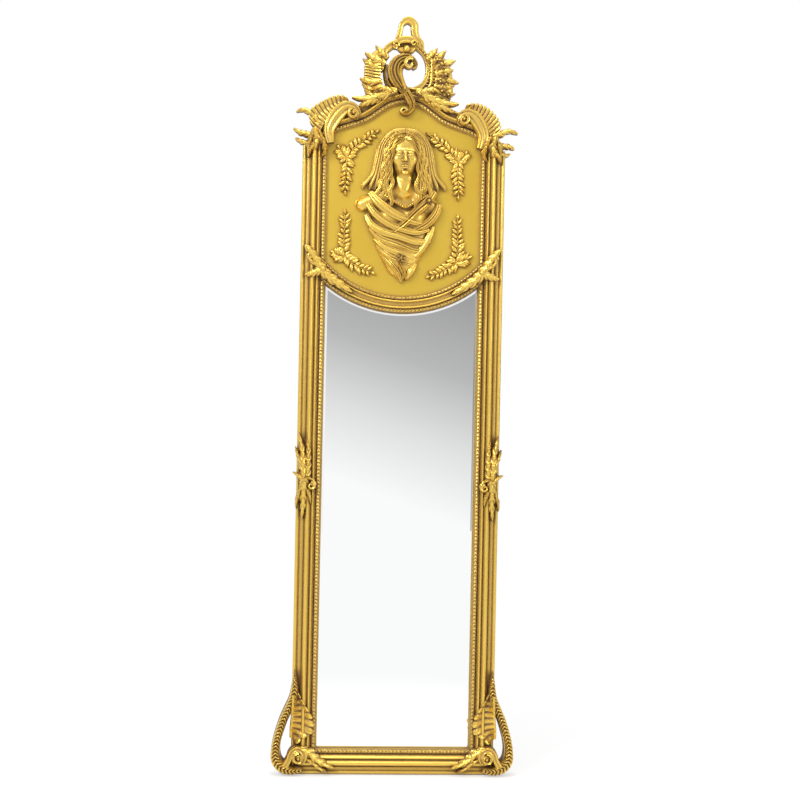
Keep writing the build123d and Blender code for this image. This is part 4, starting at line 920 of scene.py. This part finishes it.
class Clay:
    """A grid of distances into which rounded forms are blended."""

    def __init__(self, low, high, step):
        self.low = np.array(low, float)
        self.step = step
        size = np.ceil((np.array(high) - self.low) / step).astype(int) + 1
        self.field = np.full(size, FAR, np.float32)

    def blend(self, centre, reach, distance, soft, carve=False):
        """Blend a form in within its reach. Carve takes it away."""
        centre = np.array(centre, float)
        reach = np.array(reach, float) + soft + 2 * self.step
        first = np.maximum(((centre - reach - self.low) / self.step).astype(int), 0)
        last = np.minimum(((centre + reach - self.low) / self.step).astype(int) + 2,
                          self.field.shape)
        if (last <= first).any():
            return
        axes = [self.low[k] + self.step * np.arange(first[k], last[k]) for k in range(3)]
        x, h, z = np.meshgrid(*axes, indexing="ij", sparse=True)
        form = distance(x - centre[0], h - centre[1], z - centre[2])
        window = tuple(slice(a, b) for a, b in zip(first, last))
        here = self.field[window]
        if carve:
            near = np.maximum(soft - np.abs(here + form), 0) / soft
            self.field[window] = np.maximum(here, -form) + near ** 2 * soft / 4
        else:
            near = np.maximum(soft - np.abs(here - form), 0) / soft
            self.field[window] = np.minimum(here, form) - near ** 2 * soft / 4

    def egg(self, centre, radii, soft=4.0, carve=False):
        """An ellipsoid."""
        def distance(x, h, z):
            u = x / radii[0]
            v = z / radii[2]
            w = h / radii[1]
            length = np.sqrt(u * u + v * v + w * w)
            return (length - 1) * min(radii) * 0.5 + (length - 1) * length * min(radii) * 0.5 \
                / np.maximum(length, 0.3)
        self.blend(centre, [max(radii)] * 3, distance, soft, carve)

    def rod(self, a, b, radius_a, radius_b, soft=3.0, carve=False):
        """A rounded rod that tapers from a to b."""
        a = np.array(a, float)
        b = np.array(b, float)
        run = b - a
        length = float(run @ run) + 1e-9

        def distance(x, h, z):
            t = np.clip((x * run[0] + h * run[1] + z * run[2]) / length, 0, 1)
            gap = np.sqrt((x - t * run[0]) ** 2 + (h - t * run[1]) ** 2 + (z - t * run[2]) ** 2)
            return gap - (radius_a + (radius_b - radius_a) * t)
        thick = max(radius_a, radius_b)
        self.blend(a, np.abs(run) + thick, distance, soft, carve)

    def form(self):
        """The surface, its faces and its levels of antiquing and painted shade."""
        field = self.field.copy()
        mean = field.copy()
        for axis in range(3):
            mean = (mean + np.roll(mean, 2, axis) + np.roll(mean, -2, axis)) / 3
        grid = openvdb.FloatGrid()
        grid.copyFromArray(np.pad(field, 1, constant_values=FAR))
        places, triangles, quads = grid.convertToPolygons(isovalue=0.0)
        places = places - 1
        cell = np.clip(places.round().astype(int), 0, np.array(field.shape) - 1)
        cell = tuple(cell.T)
        # Antiquing and painted shade: browner in the hollows, where the field lies above its local
        # mean.
        antiquing_and_shading = np.clip(0.12 + 1.1 * (field[cell] - mean[cell]) / self.step, 0, 1)
        faces = [tuple(int(i) for i in face) for face in quads]
        faces += [tuple(int(i) for i in face) for face in triangles]
        return places * self.step + self.low, faces, antiquing_and_shading


def make_figure():
    """Head, neck, shoulders and the body under the drapery."""
    clay = Clay((-124, 20, 1160), (100, 90, 1536), 1.0)
    eye_z = CHIN_Z + 0.49 * HEAD_TALL
    brow_z = CHIN_Z + 0.565 * HEAD_TALL
    nose_z = CHIN_Z + 0.295 * HEAD_TALL
    mouth_z = CHIN_Z + 0.19 * HEAD_TALL
    face = HEAD_H + 33
    clay.egg((-4, 20, 1322), (70, 24, 62), 6)
    clay.egg((-4, 20, 1262), (62, 20, 56), 14)
    clay.egg((-4, 20, 1218), (34, 20, 44), 14)
    clay.rod((-46, 26, 1372), (-98, 22, 1348), 20, 17, 12)
    clay.rod((42, 26, 1368), (72, 22, 1346), 20, 14, 12)
    clay.rod((-38, 24, 1378), (0, 32, 1392), 12, 15, 12)
    clay.rod((36, 24, 1378), (0, 32, 1392), 12, 15, 12)
    clay.egg((-33, 32, 1322), (24, 20, 22), 12)
    clay.egg((27, 32, 1320), (23, 20, 22), 12)
    clay.rod((0, 32, 1424), (-2, 30, 1376), 15.5, 18, 9)
    clay.rod((-16, 40, 1410), (-5, 47, 1382), 4, 3, 8)
    clay.rod((14, 40, 1410), (3, 47, 1382), 4, 3, 8)
    clay.egg((0, HEAD_H, CHIN_Z + 0.60 * HEAD_TALL), (35, 33, 44), 2)
    clay.egg((0, HEAD_H + 6, CHIN_Z + 0.31 * HEAD_TALL), (27, 25, 33), 10)
    clay.egg((0, face - 3, CHIN_Z + 0.055 * HEAD_TALL + 1), (9, 7, 6.5), 7)
    clay.egg((0, face - 5.5, brow_z + 9), (20, 5, 11), 10)
    for side in (-1, 1):
        clay.egg((side * 17.5, face - 10, nose_z + 7), (11, 10, 11), 9)
        clay.rod((side * 5, face + 1.5, brow_z - 0.5), (side * 22, face - 6.5, brow_z - 1),
                 2.2, 1.6, 5)
        clay.egg((side * 13.6, face + 4.5, eye_z + 0.5), (8.6, 7.5, 5.6), 4.5, carve=True)
        clay.egg((side * 13.4, face - 6.6, eye_z - 0.4), (7.4, 7.4, 7.0), 1.5)
    clay.rod((0, face + 0.5, brow_z - 2), (0, face + 8.5, nose_z + 5.5), 2.5, 3.7, 5)
    clay.egg((0, face + 8.0, nose_z + 4.0), (4.4, 4.8, 4.0), 3)
    for side in (-1, 1):
        clay.egg((side * 5.0, face + 3.6, nose_z + 3.4), (3.2, 4.2, 3.1), 2.2)
        clay.egg((side * 3.1, face + 6.2, nose_z + 0.2), (1.5, 2.6, 1.3), 1.2, carve=True)
        lid = [(side * 13.4 + u, face - h, eye_z + v) for u, h, v in (
            (-7.6, 4.2, -1.0), (-4.4, 0.4, 1.6), (0, -1.1, 2.6), (4.4, 0.2, 1.5),
            (7.6, 4.0, -0.8))]
        under = [(x, h - 0.3, 2 * (eye_z - 1.1) - z) for x, h, z in lid]
        for a, b in zip(lid, lid[1:]):
            clay.rod(a, b, 1.25, 1.25, 1.6)
        for a, b in zip(under, under[1:]):
            clay.rod(a, b, 0.8, 0.8, 1.4)
        clay.egg((side * 13.4, face - 5.2, eye_z + 3.6), (7.2, 6.0, 3.6), 2.0)
        clay.egg((side * 4.2, face + 1.7, mouth_z + 1.9), (6.0, 3.4, 2.1), 1.8)
        clay.egg((side * 13.0, face - 3.0, mouth_z), (2.2, 3.0, 1.8), 2.5, carve=True)
    clay.egg((0, face + 1.6, mouth_z - 2.6), (7.8, 3.6, 2.7), 2.0)
    for side in (-1, 1):
        clay.rod((side * 9.5, face + 2.4, mouth_z - 0.1), (0, face + 5.0, mouth_z - 0.4),
                 0.5, 0.7, 1.4, carve=True)
    clay.egg((0, face + 4.4, nose_z - 5.0), (1.5, 1.7, 3.4), 1.5, carve=True)
    clay.egg((0, face + 3.6, mouth_z - 7.6), (8.0, 3.0, 2.3), 3.0, carve=True)
    return clay.form()


def wavy(stroke, swing, waves, phase=0.0):
    """A stroke with waves in it."""
    line = even(stroke, 6 * waves + 2)
    left = sideways(line)[0]
    t = np.linspace(0, 1, len(line))
    sway = swing * np.sin(2 * math.pi * (waves * t + phase)) * (0.35 + 0.65 * t)
    line[:, :2] += left * sway[:, None]
    return [tuple(place) for place in line]


def make_hair():
    """Locks that part over the brow and fall in waves on both sides."""
    locks = []
    for side in (-1, 1):
        for k in range(6):
            out = 3.6 * k
            rise = 1.6 * k
            stroke = [(side * 0.5, 1499 + 3.0 * k, 3, 73 - 1.6 * rise),
                      (side * (13 + 0.6 * out), 1495 + 2.6 * k, 5, 75 - 1.8 * rise),
                      (side * (26 + 0.7 * out), 1479 + 1.6 * k, 5.5, 72 - 1.9 * rise),
                      (side * (33 + 0.8 * out), 1454, 5.5, 66 - 1.4 * rise),
                      (side * (33 + out), 1426, 5.5, 61 - rise),
                      (side * (40 + out), 1398, 5.5, 56 - rise),
                      (side * (35 + out), 1370 + 3 * k, 5, 54 - rise),
                      (side * (46 + out), 1346 + 7 * k, 1.5, 46 - rise)]
            locks.append((stroke, 2.6, 4, 0.23 * k))
        locks.append(([(side * 36, 1420, 5, 60), (side * 28, 1396, 5.5, 58), (side * 36, 1372, 5, 58),
                       (side * 28, 1350, 4.5, 61), (side * 34, 1330, 1, 60)], 3.0, 2, 0.0))
        locks.append(([(side * 52, 1404, 5, 52), (side * 60, 1384, 5, 51), (side * 68, 1366, 5, 47),
                       (side * 82, 1354, 1, 38)], 3.0, 1, 0.0))
    return [blade(wavy(stroke, swing, waves, phase), PANEL_H, 50, flutes=1, groove=0.25,
                  edge=0.6, step=2.0 * FINE)
            for stroke, swing, waves, phase in locks]


def make_veil():
    """The veil behind the hair, in folds from the crown to the shoulders."""
    folds = []
    for side in (-1, 1):
        for k in range(4):
            out = 7.0 * k
            flare = 5 * k * k
            folds.append(blade([(0, 1517 + 3.4 * k, 3.5, 62 - 4 * k),
                                (side * (22 + 0.6 * out), 1510 + 2.8 * k, 4.2, 62 - 4 * k),
                                (side * (42 + 0.7 * out), 1487 + 1.4 * k, 4.6, 56 - 3.6 * k),
                                (side * (49 + 0.8 * out), 1452, 4.8, 51 - 3 * k),
                                (side * (53 + out), 1420, 5.2, 47 - 2.6 * k),
                                (side * (56 + out + 0.4 * flare), 1394, 5.2, 43 - 2 * k),
                                (side * (62 + 0.6 * out + 0.5 * flare), 1372 + 4 * k, 1.5, 36 - k)],
                               PANEL_H, 50, ridge=0.2, edge=0.45))
        folds.append(blade([(0, 1521, 10, 50), (side * 30, 1512, 12, 50), (side * 54, 1480, 12, 42),
                            (side * 62, 1440, 13, 38), (side * 68, 1408, 12, 35),
                            (side * 72, 1384, 5, 32)], PANEL_H, 50, edge=0.7))
    # Antiquing and painted shade: the whole veil, behind the hair, is a step browner.
    return [(places, faces, np.clip(antiquing_and_shading + 0.28, 0, 1)) for places, faces, antiquing_and_shading in folds]


DRAPERY = [
    [(-80, 1376, 7, 50), (-60, 1352, 11, 58), (-28, 1328, 12, 62), (10, 1312, 10, 60),
     (44, 1304, 7, 52)],
    [(74, 1382, 7, 46), (56, 1356, 11, 56), (30, 1332, 12, 62), (2, 1304, 10, 60),
     (-24, 1284, 7, 54)],
    [(-84, 1350, 8, 42), (-66, 1326, 10, 48), (-40, 1306, 10, 54), (-8, 1292, 9, 56),
     (30, 1284, 8, 54), (62, 1292, 5, 44)],
    [(84, 1352, 8, 42), (74, 1326, 10, 46), (54, 1304, 10, 50), (26, 1288, 8, 52)],
    [(-88, 1324, 6, 36), (-74, 1300, 9, 42), (-48, 1284, 10, 48), (-10, 1274, 10, 52),
     (34, 1262, 9, 48), (66, 1266, 5, 38)],
    [(-78, 1294, 7, 36), (-52, 1270, 10, 42), (-14, 1256, 10, 48), (28, 1242, 8, 44),
     (52, 1244, 5, 36)],
    [(-66, 1270, 7, 34), (-40, 1248, 9, 42), (-6, 1234, 9, 46), (26, 1222, 7, 40)],
    [(-52, 1244, 7, 34), (-28, 1226, 9, 42), (2, 1214, 8, 44), (28, 1206, 5, 36)],
    [(70, 1300, 6, 36), (62, 1276, 8, 40), (48, 1250, 8, 40), (30, 1228, 6, 38)],
    [(-38, 1222, 7, 34), (-22, 1204, 8, 42), (-8, 1186, 7, 42), (-2, 1166, 3, 34)],
    [(30, 1212, 6, 34), (22, 1196, 8, 40), (12, 1180, 6, 38), (10, 1172, 3, 32)],
    [(-10, 1216, 5, 44), (-2, 1198, 6, 48), (4, 1184, 5, 44), (-4, 1170, 2, 36)],
]
COLLAR = [(-58, 1378, 3, 44), (-40, 1366, 4, 52), (-18, 1352, 4, 58), (2, 1342, 4, 60),
          (20, 1350, 4, 58), (40, 1362, 4, 52), (58, 1374, 3, 44)]


def make_drapery():
    """Crossed drapery with its collar, brooch, wound bands and knotted tail."""
    forms = [blade(stroke, PANEL_H, 50, flutes=1 + k % 2, groove=0.22, edge=0.5)
             for k, stroke in enumerate(DRAPERY)]
    forms.append(blade(COLLAR, PANEL_H, 60, ribs=(22, 0.4, 0.4), left=(22, 0.3), edge=0.7))
    forms.append(dome(58, 1357, 10, 46, 64, petals=7))
    forms.append(dome(58, 1357, 4, 58, 68))
    forms.append(dome(-4, 1222, 11, 40, 58, petals=5))
    return forms


shown("draped_bust", [make_figure()] + make_veil() + make_hair() + make_drapery(),
      "maiden_bust", carving, angle=60)

# Laurel sprays

SPRAY_LOW = [
    [(0, 0), (2, 38), (1, 76), (1, 111)],
    [(0, 0), (-20, -16), (-44, -28), (-71, -38)],
    [(0, 0), (14, 3), (25, 8)],
]
SPRAY_HIGH = [
    [(0, 0), (-1, -28), (2, -58), (1, -87)],
    [(0, 0), (-20, 24), (-46, 46), (-76, 67)],
    [(0, 0), (9, 11), (16, 21)],
]


def make_spray(x, z, side, arms, seed):
    """A spray of laurel: stems with pairs of leaves, and a leaf at each tip."""
    chance = np.random.default_rng(seed)
    forms = []
    for arm in arms:
        stem = [(side * (x + u), z + v, 1.6) for u, v in arm]
        forms.append(blade(stem, PANEL_H, PANEL_H + 5, step=3, across=7))
        line = smooth_line(stem, 10.5)[0]
        for i in range(1, len(line)):
            aim = math.atan2(line[i, 1] - line[i - 1, 1], line[i, 0] - line[i - 1, 0])
            taper = 1 - 0.35 * i / len(line)
            for turn in ((0.85, -0.8) if i < len(line) - 1 else (0.0,)):
                bearing = aim + turn * chance.uniform(0.7, 1.25)
                length = 25 * taper * chance.uniform(0.75, 1.15)
                width = 5.8 * taper
                a, b = line[i - 1, :2]
                c = math.cos(bearing) * length
                s = math.sin(bearing) * length
                top = PANEL_H + chance.uniform(7, 10.5)
                stroke = [(a, b, 1.2, top - 3), (a + 0.35 * c, b + 0.35 * s, width, top),
                          (a + 0.7 * c, b + 0.7 * s, width * 0.8, top),
                          (a + c, b + s, 0.6, top - 2)]
                forms.append(blade(stroke, PANEL_H, top, ridge=0.45, step=2.5, across=9))
    return forms


spray_x = SIGHT - 45
low_z = ARC_Z - 158
high_z = STILE_TOP - 26
for seed, (name, side, x, z, arms) in enumerate((
        ("upper_left", -1, spray_x, high_z, SPRAY_HIGH),
        ("upper_right", 1, spray_x - 8, high_z - 4, SPRAY_HIGH),
        ("lower_left", -1, spray_x, low_z, SPRAY_LOW),
        ("lower_right", 1, spray_x - 8, low_z - 6, SPRAY_LOW)), 1):
    shown(f"spray_{name}", make_spray(x, z, side, arms, seed), f"laurel_spray_{name}", carving)


# Stage, light and camera

world = bpy.data.worlds.new("room")
bpy.context.scene.world = world
world.use_nodes = True
tree = world.node_tree
background = tree.nodes["Background"]
sky = tree.nodes.new("ShaderNodeTexCoord").outputs["Generated"]
parts = tree.nodes.new("ShaderNodeSeparateXYZ")
tree.links.new(sky, parts.inputs[0])


def greys(stops, factor):
    """A ramp of greys."""
    return ramp(tree, [(place, (grey, grey, grey)) for place, grey in stops], factor)


walls = greys([(0.0, 0.85), (0.45, 0.8), (0.56, 0.30), (0.66, 0.42), (0.8, 1.0), (1.0, 1.0)],
              line_sum(tree, line_sum(tree, parts.outputs["X"], 0.3, parts.outputs["Z"]), 0.5, 0.5))
ahead = line_sum(tree, parts.outputs["X"], 0.35, parts.outputs["Z"])
window = greys([(0.0, 1.0), (0.32, 1.0), (0.42, 0.78), (0.52, 0.50), (0.60, 0.40), (0.67, 0.31),
                (0.72, 0.31), (0.82, 0.85), (1.0, 0.9)], line_sum(tree, ahead, 2.0, 0.42))
facing = greys([(0.0, 1.0), (0.22, 1.0), (0.42, 0.0), (1.0, 0.0)],
               maths(tree, "ABSOLUTE", parts.outputs["X"], 0.0))
room = mixed(tree, "MIX", facing, walls, window)
is_camera = tree.nodes.new("ShaderNodeLightPath").outputs["Is Camera Ray"]
tree.links.new(mixed(tree, "MIX", is_camera, room, (1.0, 1.0, 1.0)),
               background.inputs["Color"])
background.inputs["Strength"].default_value = 1.0

floor_mesh = bpy.data.meshes.new("floor")
floor_mesh.from_pydata([(-6, -6, 0), (6, -6, 0), (6, 6, 0), (-6, 6, 0)], [], [(0, 1, 2, 3)])
floor = linked("floor", floor_mesh)
floor_material, tree, shader = new_material("pale_floor")
coords = tree.nodes.new("ShaderNodeTexCoord").outputs["Object"]
tree.links.new(mixed(tree, "MIX", noise(tree, 0.6, 2.0, coords), (0.95, 0.95, 0.95),
                     (0.93, 0.93, 0.93)), shader.inputs["Base Color"])
shader.inputs["Roughness"].default_value = 0.9
length = tree.nodes.new("ShaderNodeVectorMath")
length.operation = "LENGTH"
tree.links.new(coords, length.inputs[0])
far = ramp(tree, [(0.0, (0.5, 0.5, 0.5)), (0.15, (0.5, 0.5, 0.5)), (0.5, (1.0, 1.0, 1.0))],
           maths(tree, "MULTIPLY", length.outputs["Value"], 0.4))
path = tree.nodes.new("ShaderNodeLightPath")
seen = maths(tree, "MAXIMUM", path.outputs["Is Camera Ray"], path.outputs["Is Glossy Ray"])
glow = tree.nodes.new("ShaderNodeEmission")
glow.inputs["Color"].default_value = (1.0, 1.0, 1.0, 1.0)
glow.inputs["Strength"].default_value = 1.0
blend = tree.nodes.new("ShaderNodeMixShader")
tree.links.new(maths(tree, "MULTIPLY", seen, far), blend.inputs[0])
tree.links.new(shader.outputs[0], blend.inputs[1])
tree.links.new(glow.outputs[0], blend.inputs[2])
tree.links.new(blend.outputs[0], tree.nodes["Material Output"].inputs["Surface"])
floor_mesh.materials.append(floor_material)


def lamp(name, place, target, size, power):
    """A square soft lamp aimed at a place."""
    data = bpy.data.lights.new(name, "AREA")
    data.shape = "SQUARE"
    data.size = size
    data.energy = power
    thing = linked(name, data)
    thing.location = place
    aim = Vector(target) - Vector(place)
    thing.rotation_mode = "QUATERNION"
    thing.rotation_quaternion = aim.to_track_quat("-Z", "Y")


lamp("key", (-2.2, -2.6, 2.8), (0, 0, 1.0), 1.0, 85)
lamp("fill", (2.6, -2.2, 1.6), (0, 0, 0.9), 1.6, 22)
lamp("top", (0, -0.4, 3.6), (0, 0, 1.0), 1.5, 30)

SENSOR_MM = 36.0
PICTURE_PIXELS = 800
CAMERA_PLACE = (-0.2135, -3.5, 0.8937)
CAMERA_YAW = math.radians(3.517)
CAMERA_PITCH = math.radians(-0.095)
CAMERA_ROLL = math.radians(1.161)
FOCAL_PIXELS = 1478.2
camera_data = bpy.data.cameras.new("camera")
camera_data.sensor_width = SENSOR_MM
camera_data.lens = SENSOR_MM * FOCAL_PIXELS / PICTURE_PIXELS
camera = linked("camera", camera_data)
forward = Vector((math.sin(CAMERA_YAW) * math.cos(CAMERA_PITCH),
                  math.cos(CAMERA_YAW) * math.cos(CAMERA_PITCH), math.sin(CAMERA_PITCH)))
level = Vector((math.cos(CAMERA_YAW), -math.sin(CAMERA_YAW), 0))
upright = level.cross(forward)
right = math.cos(CAMERA_ROLL) * level + math.sin(CAMERA_ROLL) * upright
up = -math.sin(CAMERA_ROLL) * level + math.cos(CAMERA_ROLL) * upright
turned = Matrix((right, up, -forward)).transposed()
camera.rotation_mode = "QUATERNION"
camera.rotation_quaternion = turned.to_quaternion()
camera.location = CAMERA_PLACE
bpy.context.scene.camera = camera

scene = bpy.context.scene
scene.view_settings.view_transform = "Standard"

bpy.context.view_layer.update()
